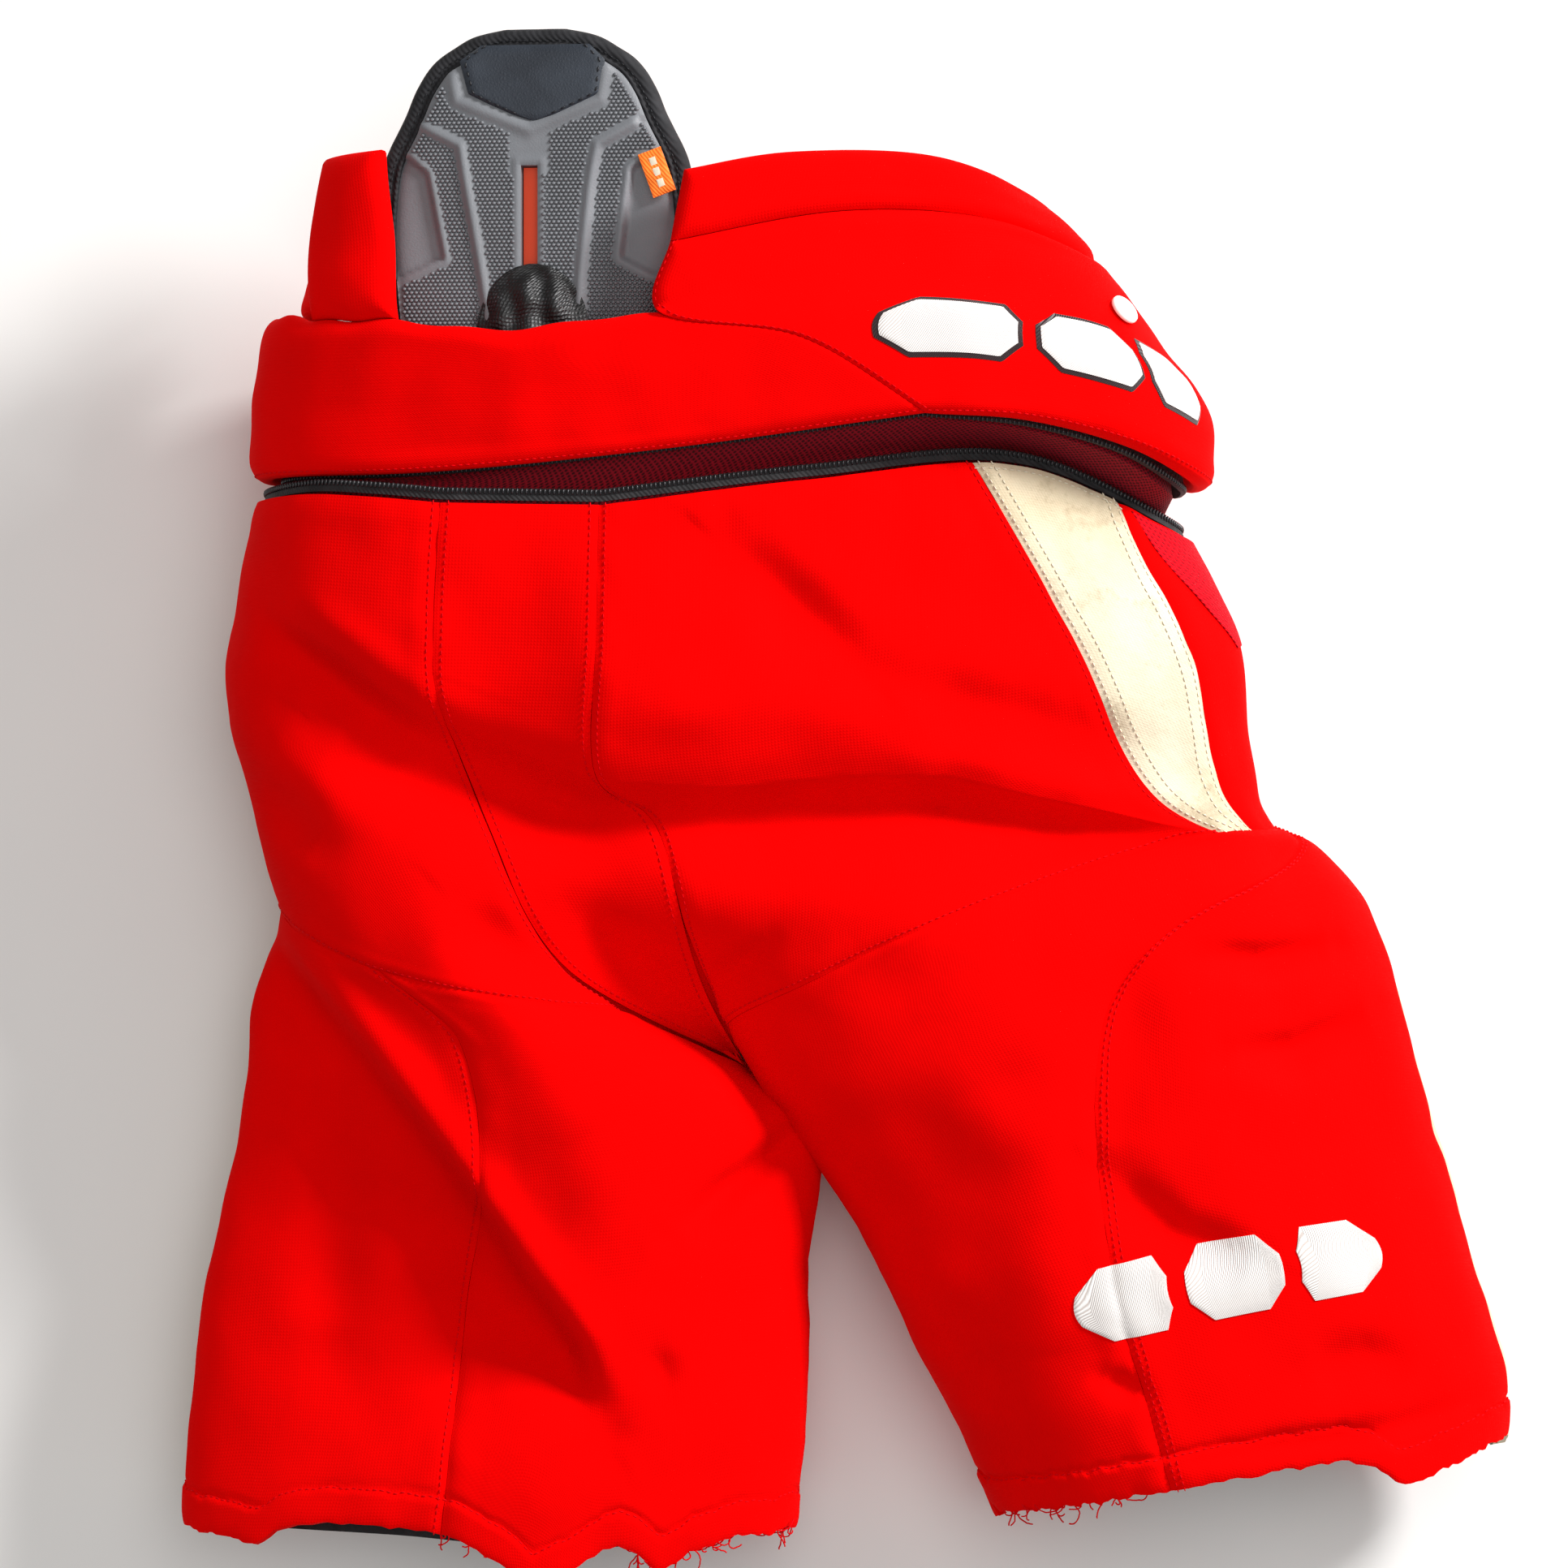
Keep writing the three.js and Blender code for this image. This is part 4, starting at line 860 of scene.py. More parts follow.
def tube(name, lines, radius, coat):
    """Thin threads: a small tube along each line of points in metres."""
    curve = bpy.data.curves.new(name, "CURVE")
    curve.dimensions = "3D"
    curve.bevel_depth = radius
    curve.bevel_resolution = 1
    curve.use_fill_caps = True
    for line in lines:
        path = curve.splines.new("POLY")
        path.points.add(len(line) - 1)
        path.points.foreach_set("co", np.column_stack([line, np.ones(len(line))]).ravel())
    holder = bpy.data.objects.new(name + "_curve", curve)
    bpy.context.collection.objects.link(holder)
    mesh = bpy.data.meshes.new_from_object(holder.evaluated_get(bpy.context.evaluated_depsgraph_get()))
    bpy.data.objects.remove(holder)
    mesh.name = name
    mesh.materials.clear()
    mesh.materials.append(finish(coat))
    mesh.shade_smooth()
    piece = bpy.data.objects.new(name, mesh)
    bpy.context.collection.objects.link(piece)
    return piece


# ---------- building blocks ----------
def blend_line(start, end):
    """The two ends, in metres, between which cloth passes from one body to another."""
    return tuple(to_metres([start])[0]), tuple(to_metres([end])[0])


# Cloth near the crotch belongs to the seat, and the outer hip and the thigh to the leg: the two bodies and the line
# between them. put_on bakes cloth given these where it lies and binds it to neither body.
RIGHT_HIP = ("pelvis", "right_leg", *blend_line((-47, -86, 64), (37, -198, 64)))
LEFT_HIP = ("pelvis", "left_leg", *blend_line((-98, -78, 64), (-166, -196, 64)))

RIGHT_LEG_SEAM = listed([4.2, 3.95, 3.3, 2.45, 2.3, 2.5, 3.2, 3.9, 4.25], 0, 2)
LEFT_LEG_SEAM = listed([4.35, 4.35, 4.3, 4.15, 3.95, 4.2, 4.4, 4.5, 4.6], 0, 2)
STRIPE_INNER = listed([0.4, 0.54, 0.7], 0, 2.8)
STRIPE_OUTER = listed([0.65, 0.74, 0.84], 0, 2.8)


def worn_hem(on, hem, back, front, seed):
    """The lower end of a leg in lines of its skin. Wear has shortened it by the millimetres listed across the back."""
    xs, short = np.array(sorted(back)).T

    def bottom(u):
        u = np.asarray(u, float)
        at = on.point(u, np.full(u.shape, float(hem)))
        fray = ripple(at, 9, seed) + 0.6 * ripple(at, 4, seed + 1)
        worn = np.interp(at[..., 0], xs, short) + 0.9 * fray
        round_side = smooth(0.95, 1.05, u)
        return hem - (worn + (front + fray - worn) * round_side) / 40

    return bottom


RIGHT_HEM = worn_hem(RIGHT, HEM_RIGHT, [(64, 8), (71, 2), (149, 6), (225, 8), (241, 4), (254, -6), (285, 0),
    (313, 4)], -3, 31)
LEFT_HEM = worn_hem(
    LEFT, HEM_LEFT,
    [(-316, 5), (-276, 0), (-270, 6), (-262, 12), (-246, 16), (-231, 17), (-205, 16), (-185, 13), (-166, 2), (-155, -4),
     (-147, -9), (-132, -3), (-118, 7), (-109, 10), (-98, 5), (-88, -5), (-75, 3), (-54, 9), (-25, 6)],
    9, 41,
)


def cloth_panel(
    name, skin, left, right, top, bottom, coat, body, slot_name, nodes, seams="left right top bottom", thick=FACE_CLOTH,
    depth=0, seed=1, hem=False, cell=None, wrinkled=True,
):
    """One panel of sewn cloth, from its pattern edges to a closed mesh, hung on its body when that is one named body.
    """
    sizes = bpy.context.scene.pants_sizes
    u, v = lay_out(skin, left, right, top, bottom, cell or sizes.cell * 1000, gap=0.16)
    base, normals = skin.point(u, v), skin.outward(u, v)
    lift = sewn_cloth(base, seams.split(), sizes, seed) if wrinkled else 0 * u
    if skin in (LEFT, RIGHT):
        base = touching(creased(base, normals), skin)
    if hem:
        away = distances(base)[3]
        fold = sizes.hem_fold * 1000
        lift += 1.1 * (1 - smooth(fold - 1.5, fold + 0.5, away)) - 1.3 * np.exp(-(((away - fold) / 1.6) ** 2))
        lift -= 1.2 * np.exp(-away / 2.5)
    lift = np.where(normals[..., 2] < -0.2, np.minimum(lift, 0), lift)
    outer = base + normals * (lift - depth)[..., None]
    inner = outer - normals * thick
    GRIDS[name] = (outer, normals)
    piece = solid(name, outer, inner, finish(coat))
    put_on(piece, body, slot_name, *nodes)
    return piece


def pad_panel(
    name, skin, left, right, top, bottom, thick, coat, body, slot_name, nodes, seed=1, crown=2.5, radius=8,
    sewn=None,
):
    """A stuffed panel: full in its middle and rounded to its seams. Its left edge is sewn flush up to the line sewn."""
    sizes = bpy.context.scene.pants_sizes
    u, v = lay_out(skin, left, right, top, bottom, sizes.cell * 1000, gap=0.2)
    base, normals = skin.point(u, v), skin.outward(u, v)
    away = list(distances(base))
    groove = 0
    if sewn is not None:
        flush = smooth(sewn + 0.12, sewn - 0.15, v)
        groove = 0.7 * flush * np.exp(-((away[0] / 1.4) ** 2))
        away[0] = away[0] + 60 * flush
    near = np.min(away, axis=0)
    round_off = np.sqrt(np.clip(1 - (1 - np.minimum(near, radius) / radius) ** 2, 0, 1))
    half = thick / 2 * (0.22 + 0.78 * round_off)
    full = crown * (1 - np.exp(-near / 22))
    creep = sizes.wrinkle * 1000 * (0.7 * ripple(base, 80, seed) + 0.2 * ripple(base, 26, seed + 1)) * smooth(0, 12,
        near)
    out = np.where(normals[..., 2] < -0.2, 0, full + creep - groove)
    outer = base + normals * (half + out - thick / 2)[..., None]
    inner = base - normals * (half + thick / 2)[..., None]
    GRIDS[name] = (outer, normals)
    piece = solid(name, outer, inner, finish(coat))
    put_on(piece, body, slot_name, *nodes)
    return piece


def strip(name, rows_out, rows_in, coat, body, slot_name, nodes):
    """A closed strip between two sets of long rows, such as a tape or a gusset."""
    outer, inner = np.array(rows_out), np.array(rows_in)
    normals = outer - inner
    normals /= np.maximum(np.linalg.norm(normals, axis=-1, keepdims=True), 1e-9)
    GRIDS[name] = (outer, normals)
    piece = solid(name, outer, inner, finish(coat))
    put_on(piece, body, slot_name, *nodes)
    return piece


def evenly(points, n):
    """A line of points as n equal steps."""
    length = np.concatenate([[0], np.cumsum(np.linalg.norm(np.diff(points, axis=0), axis=1))])
    at = np.linspace(0, length[-1], n + 1)
    return np.stack([np.interp(at, length, points[:, k]) for k in range(3)], axis=1)


def round_waist(left, right, rise, depth, cells=(84, 90, 48, 42)):
    """A line round the waist from the left of the fly over the back to its right, along the lower edge of two skins."""

    def at(on, start, end):
        u = np.linspace(start, end, 60)
        step = (on.point(u, 0 * u + 0.01) - on.point(u, 0 * u - 0.01)) / 0.02
        v = np.sign(step[:, 1]) * rise / np.linalg.norm(step, axis=1)
        return on.point(u, v) - on.outward(u, v) * depth

    join = 0 if left is BAND else JOIN_U
    spans = [at(left, 1.97, 1), at(left, 1, 0), at(right, join, 1), at(right, 1, 1.97)]
    if join:
        spans[1] = np.concatenate([spans[1], at(right, 0, join)])
    lines = [evenly(span, n)[1 if k else 0 :] for k, (span, n) in enumerate(zip(spans, cells))]
    return np.concatenate(lines)


# ---------- the seat ----------
def build_seat():
    """Sews the seat's panels, the net at the right hip and both gussets."""
    zero = constant(0)
    right_side = {"skin": RIGHT, "top": zero, "bottom": RIGHT_LEG_SEAM, "body": RIGHT_HIP}
    left_side = {"skin": LEFT, "top": zero, "bottom": LEFT_LEG_SEAM, "body": LEFT_HIP}
    rows = [
        ("right_seat_panel", right_side, zero, STRIPE_INNER, "red", "red_nylon", ("right_hip_fold",)),
        ("right_hip_stripe", right_side, STRIPE_INNER, STRIPE_OUTER, "white", "white_panel", ()),
        ("right_hip_panel", right_side, STRIPE_OUTER, constant(1.3), "red", "red_nylon", ()),
        ("right_front_panel", right_side, constant(1.3), constant(2), "red", "red_nylon", ()),
        ("left_seat_panel", left_side, zero, constant(1.04), "red", "red_nylon", ("left_hip_fold",)),
        ("left_hip_stripe", left_side, constant(1.04), constant(1.22), "white", "white_panel", ()),
        ("left_front_panel", left_side, constant(1.22), constant(2), "red", "red_nylon", ()),
    ]
    for seed, (name, side, start, end, coat, slot_name, more) in enumerate(rows):
        cloth_panel(
            name, side["skin"], start, end, side["top"], side["bottom"], coat, side["body"], slot_name, (name, *more),
            seed=10 * seed + 3,
        )
    cloth_panel(
        "right_hip_net", RIGHT, listed([0.67, 0.76, 0.9], 0, 1), constant(1.1), constant(0.03),
        listed([1.05, 0.95, 0.8], 0.67, 1.1),
        "side_net", RIGHT_HIP, "red_nylon", (), thick=0.5, depth=-0.75, seed=23, seams="",
    )
    build_gusset("seat_gusset", 0, 0)
    build_gusset("fly_gusset", 2, 6)


def build_gusset(name, u, depth):
    """The strip between the two sides, down the back or behind the fly. Its seam allowances turn in under them."""
    share = np.linspace(0, 1, 90)[:, None]
    lines = [np.where(share < 0.7, share / 0.7 * 2.8, 2.8 + (share - 0.7) / 0.3 * (last - 2.8)) for last in (5.05,
        4.45)]
    a, b = LEFT.point(0 * share + u, lines[0]), RIGHT.point(0 * share + u, lines[1])
    wide = np.linalg.norm(a - b, axis=2)
    s = (0.1 + np.linspace(0, 1, 26) * (wide - 0.2)) / wide
    s = np.hstack([-4 / wide, -0.5 / wide, s, 1 + 0.5 / wide, 1 + 4 / wide])
    allowance = np.array([FACE_CLOTH + 1, FACE_CLOTH + 0.7, *np.zeros(26), FACE_CLOTH + 0.7, FACE_CLOTH + 1])
    points = a + (b - a) * s[..., None]
    sign = 1 if u == 0 else -1
    normals = np.zeros_like(points)
    normals[..., 2] = sign
    near = np.minimum(s * wide, (1 - s) * wide)
    sizes = bpy.context.scene.pants_sizes
    lift = -3 * np.sin(np.pi * np.clip(s, 0, 1)) - allowance - sizes.seam_depth * 1000 * np.exp(-((near / 1.9) ** 2))
    if u == 0:
        lift = lift + sizes.wrinkle * 1000 * cloth_waves(points)
        ends = [np.sqrt(np.clip(skin.outward(0 * line, line)[..., 2], 0, 1)) for skin,
            line in zip((LEFT, RIGHT), lines)]
        lift = lift - creases(points) * (ends[0] + (ends[1] - ends[0]) * s)
    moved = [touching(end, skin) - end for end, skin in ((a, LEFT), (b, RIGHT))]
    outer = points + moved[0] + (moved[1] - moved[0]) * s[..., None] + normals * (lift - depth)[..., None]
    GRIDS[name] = (outer, normals)
    piece = solid(name, outer, outer - normals * FACE_CLOTH, finish("red"))
    put_on(piece, "pelvis", "red_nylon", name)


class Flat(Skin):
    """A level skin between two x and two y, facing up or down."""

    def __init__(self, across, along_y, z, up):
        self.across, self.along_y, self.z, self.up = across, along_y, z, up

    def point(self, u, v):
        u, v = np.broadcast_arrays(np.asarray(u, float), np.asarray(v, float))
        x = self.across[0] + (self.across[1] - self.across[0]) * u
        y = self.along_y[0] + (self.along_y[1] - self.along_y[0]) * v
        return np.stack([x, y, 0 * x + self.z], axis=-1)

    def outward(self, u, v):
        u, _ = np.broadcast_arrays(np.asarray(u, float), np.asarray(v, float))
        return np.stack([0 * u, 0 * u, 0 * u + self.up], axis=-1)


def build_tailbone_pad():
    """A slab of foam in a pocket under the seat, rounded at its edges."""
    flat = Flat((-184, -118), (122, 52), SEAT_CROWN - 14, 1)
    pad_panel(
        "tailbone_pad", flat, constant(0.012), constant(0.988), constant(0.012), constant(0.988), 11.5, "pad",
        "pelvis", "foam",
        ("tailbone_pad",), crown=0, radius=4,
    )


# ---------- the legs ----------
def build_leg(side, skin, top, hem, outer, stripe_start, stripe_end, body, leg_top, hem_line):
    """Sews one leg's panels and hangs its liner."""
    rows = [
        ("back_thigh", constant(0), outer, "red", "red_nylon"),
        ("outer_thigh", outer, stripe_start, "red", "red_nylon"),
        ("leg_stripe", stripe_start, stripe_end, "white", "white_panel"),
        ("front_thigh", stripe_end, constant(1.86), "red", "red_nylon"),
        ("inner_thigh", constant(1.86), constant(2), "red", "red_nylon"),
    ]
    for seed, (part, start, end, coat, slot_name) in enumerate(rows):
        name = f"{side}_{part}"
        cloth_panel(
            name, skin, start, end, top, hem, coat, body, slot_name, (name,), seams="left right top",
            seed=7 * seed + 50,
            hem=True,
        )
    leg = f"{side}_leg"
    cloth_panel(
        f"{side}_leg_liner", Nested(skin, 25), constant(0.08), constant(1.92), constant(leg_top + 0.4),
        constant(hem_line - 0.12),
        "liner", leg, "liner", (f"{side}_leg_liner",), thick=1.4, seams="", seed=90, cell=6,
        wrinkled=False,
    )
    for node, coat in ((f"{side}_thigh_foam", "pad"), (f"{side}_thigh_guard", "plastic")):
        repaint(node, coat)


def repaint(node, coat):
    """Gives a carried-over node its own material."""
    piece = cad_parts[node]
    for place in piece.material_slots:
        place.material = finish(coat)


# ---------- the waist ----------
def build_waist():
    """Pads the band, the belts, the wings and the tongue."""
    flat = constant
    wavy = lambda u: 2 + 0.03 * np.sin(np.asarray(u) * 17) + 0.02 * np.sin(np.asarray(u) * 41 + 1)
    rows = [
        ("back_band", BAND, flat(0), flat(1.1), flat(0), wavy),
        ("left_front_belt", BAND, flat(1.1), flat(2), flat(0), flat(2)),
        ("right_hip_band", WING, flat(0), flat(1.12), flat(0), flat(2.95)),
        ("right_kidney_wing", WING, flat(0), flat(0.93), flat(2.95), flat(4)),
        ("right_front_belt", WING, flat(1.12), flat(2), flat(0), flat(2)),
        (
            "left_kidney_wing", BAND, listed([0.456, 0.48, 0.538], 2, 4), listed([0.685, 0.764, 0.811], 2, 4), wavy,
            flat(4),
        ),
    ]
    for name, skin, start, end, low, high in rows:
        sewn = 2 if name in ("back_band", "right_hip_band") else None
        pad_panel(name, skin, start, end, low, high, WAIST_PAD, "red", "waist", "red_nylon", (name,), seed=4, sewn=sewn)
    pad_panel(
        "left_hip_wing", HIP_WING, flat(0.11), flat(1.19), flat(0.03), flat(1.97), 12, "red", "waist", "red_nylon",
        ("left_hip_wing",), crown=1, seed=77,
    )
    tongue = Flat((-14, 80), (177, 242), WAIST_FLOOR + WAIST_PAD + LAYER_GAP + 3, -1)
    pad_panel(
        "fly_tongue", tongue, flat(0.01), flat(0.99), flat(0.01), flat(0.99), 8, "red", "waist", "red_nylon",
        ("fly_tongue",),
        crown=0, seed=78, radius=5,
    )


def build_zip():
    """The two zip tapes, the teeth of their coils, and the net that lets the waist ride up."""
    low, high = TAPE_LIFT, TAPE_LIFT + TAPE_THICK
    rises = np.linspace(TAPE_RISE, TAPE_RISE + TAPE_WIDTH, 5)
    rows = [[round_waist(LEFT, RIGHT, rise, d) for rise in rises] for d in (low, high)]
    strip("lower_zip_tape", *rows, "tape", "pelvis", "zip_tape", ("lower_zip_tape",))
    hidden = WAIST_PAD + LAYER_GAP
    rises = np.linspace(-1, TAPE_WIDTH - 1, 5)
    rows = [[round_waist(BAND, WING, rise, d) for rise in rises] for d in (hidden, hidden + TAPE_THICK)]
    strip("upper_zip_tape", *rows, "tape", "waist", "zip_tape", ("upper_zip_tape",))
    coil = to_metres(round_waist(LEFT, RIGHT, TAPE_RISE + TAPE_WIDTH - 1.2, TAPE_LIFT - 0.5))
    repeated("lower_zip_coil", [coil], "bead_row", "pelvis", "zip_tape", 0.0021, (0.0013, 0.0034, 0.0016), "coil")
    coil = to_metres(round_waist(BAND, WING, 0.2, hidden - 0.5))
    repeated("upper_zip_coil", [coil], "bead_row", "waist", "zip_tape", 0.0021, (0.0013, 0.0034, 0.0012), "coil")
    below = TAPE_LIFT + TAPE_THICK + 6.5 * LAYER_GAP
    above = hidden + TAPE_THICK + 2.5 * LAYER_GAP

    def net(deeper):
        ends = [
            round_waist(LEFT, RIGHT, 0, below + deeper),
            round_waist(LEFT, RIGHT, TAPE_RISE + TAPE_WIDTH + LAYER_GAP / 2, below + deeper),
            round_waist(BAND, WING, -1 - LAYER_GAP / 2, above + deeper),
            round_waist(BAND, WING, TAPE_WIDTH - 1, above + deeper),
        ]
        rows = []
        for a, b in zip(ends, ends[1:]):
            rows += [a + (b - a) * k / 4 for k in range(4)]
        return rows + [ends[-1]]

    lift = (TAPE_RISE + TAPE_WIDTH + 2) / 1000
    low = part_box("lower_zip_tape")[0].y
    net_body = ("pelvis", "waist", (0, low, 0.08), (0, low + 0.05 + lift, 0.08))
    net_piece = strip("extension_mesh", net(0), net(1), "net", net_body, "extension_mesh", ("extension_mesh",))
    for node in ("zip_slider", "zip_pull"):
        repaint(node, "metal")


# ---------- marks ----------
def mark_patch(place, ends, half, lift, thick):
    """One embroidered shape on the cloth: its ends along the mark, and its half height."""
    a, b = np.meshgrid(np.linspace(*ends, 40), np.linspace(-1, 1, 14))
    reach = np.clip((ends[1] - ends[0]) / 2 - abs(a - sum(ends) / 2), 0, None)
    tall = np.minimum(half, 0.42 * half + reach * 5)
    points, normals = place(a, 0.5 + b * tall)
    near = np.min(distances(points), axis=0)
    swell = thick * (0.55 + 0.45 * smooth(0, 1.6, near))
    return points + normals * (lift + swell)[..., None], points + normals * (lift - 0.3)


def build_mark(name, skin, panels, start, end, low, high, lean, body, outlined):
    """Three plain hexagons in a row, in satin stitch, with a dark edge where they are outlined."""

    def place(a, up):
        v = low + (high - low) * up
        share = a + lean * (up - 0.5)
        u = start(v) + (end(v) - start(v)) * share
        points, normals = skin.point(u, v), skin.outward(u, v)
        height = cloth_height(panels, points.reshape(-1, 3), normals.reshape(-1, 3)).reshape(u.shape)
        return points + normals * height[..., None], normals

    parts = []
    half = 0.4 if outlined else 0.44
    for k, ends in enumerate(((0.01, 0.3), (0.355, 0.645), (0.7, 0.99))):
        if outlined:
            grid = mark_patch(place, (ends[0] - 0.012, ends[1] + 0.012), half + 0.06, 0.1, 0.5)
            parts.append(solid(f"{name}_edge_{k}", *grid, finish("dark_thread")))
        grid = mark_patch(place, ends, half, 0.5 if outlined else 0.1, 0.9)
        parts.append(solid(f"{name}_shape_{k}", *grid, finish("white_thread")))
    piece = joined(name, parts)
    put_on(piece, body, "white_embroidery", name)


def joined(name, parts):
    """Joins pieces of one part into one mesh, keeping their materials and UV maps."""
    with bpy.context.temp_override(active_object=parts[0], selected_editable_objects=parts, selected_objects=parts):
        bpy.ops.object.join()
    parts[0].name = parts[0].data.name = name
    return parts[0]


def build_marks():
    """Embroiders the mark on the hip and the mark on the leg."""
    build_mark(
        "hip_mark", WING, ["right_hip_band"], listed([0.06, 0.115, 0.22], 0.6, 1.6),
        listed([0.78, 0.79, 0.76], 0.6, 1.6), 0.6,
        1.62, 0.02, "waist", True,
    )
    build_mark(
        "leg_mark", RIGHT, ["right_back_thigh", "right_outer_thigh"], listed([0.4, 0.376, 0.4], 5.84, 6.4),
        listed([0.71, 0.735, 0.71], 5.84, 6.4), 6.4, 5.84, 0.05, "right_leg", False,
    )


# ---------- the spine guard ----------
# Half its width at each height above its hinge line.
GUARD_OUTLINE = [(-12, 46), (-4, 57), (14, 64), (42, 70), (64, 72.5), (87, 74), (103, 73.5), (120, 71.5), (130, 68),
                 (144, 61), (158, 55), (169, 47.5), (176, 38), (181.4, 28), (184.5, 14)]
LEFT_RIB = [(-52, 140), (-34, 130.5), (-31, 112), (-25, 79), (-21.5, 57), (-20, 30)]
RIGHT_RIB = [(46, 139.5), (29.5, 130.5), (27.8, 123), (26, 112), (24, 93), (21.5, 68), (20, 30)]
YOKE = [(-39.5, 170), (-35.5, 151), (-2, 137.5), (30.5, 151), (33.5, 168)]
LEFT_FIELD = [(-58.6, 125.5), (-49.6, 118), (-42, 79), (-63.5, 70), (-80, 70), (-80, 126)]
RIGHT_FIELD = [(51.3, 124.2), (45, 118.6), (40.2, 78.6), (54.7, 71), (80, 71), (80, 125)]
SLOT = (-5.75, 1.75, 59, 121)  # left, right, lower and upper side


def on_guard(points):
    """Turns points of the guard's own frame to the garment's."""
    c, s = math.cos(GUARD_TILT), math.sin(GUARD_TILT)
    x, y, z = np.moveaxis(np.asarray(points, float), -1, 0)
    return np.stack([x * c - z * s, y, x * s + z * c], -1) + np.array(GUARD_ORIGIN)


def guard_loop(n=320):
    """The guard's outline as a closed smooth line, with its outward direction."""
    side = np.array([(x, y) for y, x in GUARD_OUTLINE], float)
    fine = spline(side, np.linspace(0, len(side) - 1, 200))
    loop = np.concatenate([fine, fine[::-1] * [-1, 1]])
    loop = np.concatenate([loop, loop[:1]])
    length = np.concatenate([[0], np.cumsum(np.linalg.norm(np.diff(loop, axis=0), axis=1))])
    at = np.linspace(0, length[-1], n, endpoint=False)
    loop = np.stack([np.interp(at, length, loop[:, k]) for k in (0, 1)], -1)
    ahead = np.roll(loop, -3, 0) - np.roll(loop, 3, 0)
    ahead /= np.linalg.norm(ahead, axis=1, keepdims=True)
    return loop, np.stack([ahead[:, 1], -ahead[:, 0]], -1)


def inside_of(polygon, xy):
    """Distance inside a closed polygon, negative outside it."""
    ring = list(polygon) + [polygon[0]]
    distance, _ = away_from(ring, xy)
    x, y = xy[:, 0], xy[:, 1]
    within = np.zeros(len(xy), bool)
    for (ax, ay), (bx, by) in zip(ring, ring[1:]):
        crosses = (ay > y) != (by > y)
        within ^= crosses & (x < (bx - ax) * (y - ay) / (by - ay + 1e-12) + ax)
    return np.where(within, abs(distance), -abs(distance))


def guard_relief(xy):
    """Height of the moulded face over its flat, with ribs, a yoke, sunken side fields and the slot."""
    height = 0.4 * ripple(np.column_stack([xy, 0 * xy[:, :1]]), 60, 8)
    for line in (LEFT_RIB, RIGHT_RIB):
        distance, _ = away_from(line, xy)
        outside = distance if line is LEFT_RIB else -distance
        height += 1.7 * np.exp(-((distance / 2.4) ** 2)) - 1.1 * smooth(0, 4, -outside) * smooth(0, 1,
            40 - abs(distance))
    distance, _ = away_from(YOKE, xy)
    height += 1.8 * np.exp(-((distance / 3.2) ** 2))
    for field in (LEFT_FIELD, RIGHT_FIELD):
        into = inside_of(field, xy)
        height += 1.2 * np.exp(-(((into + 1.8) / 1.6) ** 2)) - 2.2 * smooth(-0.6, 1.2, into)
    left, right, low, high = SLOT
    into = np.minimum(np.minimum(xy[:, 0] - left, right - xy[:, 0]), np.minimum(xy[:, 1] - low, high - xy[:, 1]))
    height += 0.9 * np.exp(-(((into + 2.2) / 1.5) ** 2))
    return np.where(into > 0, -11.4, height)


def guard_half_width(y, inset):
    """Half the spine guard's width at y, inset millimetres inside its edge."""
    loop, out = guard_loop()
    moved = loop - out * inset
    side = moved[moved[:, 0] > 0]
    order = np.argsort(side[:, 1])
    return np.interp(y, side[order, 1], side[order, 0])


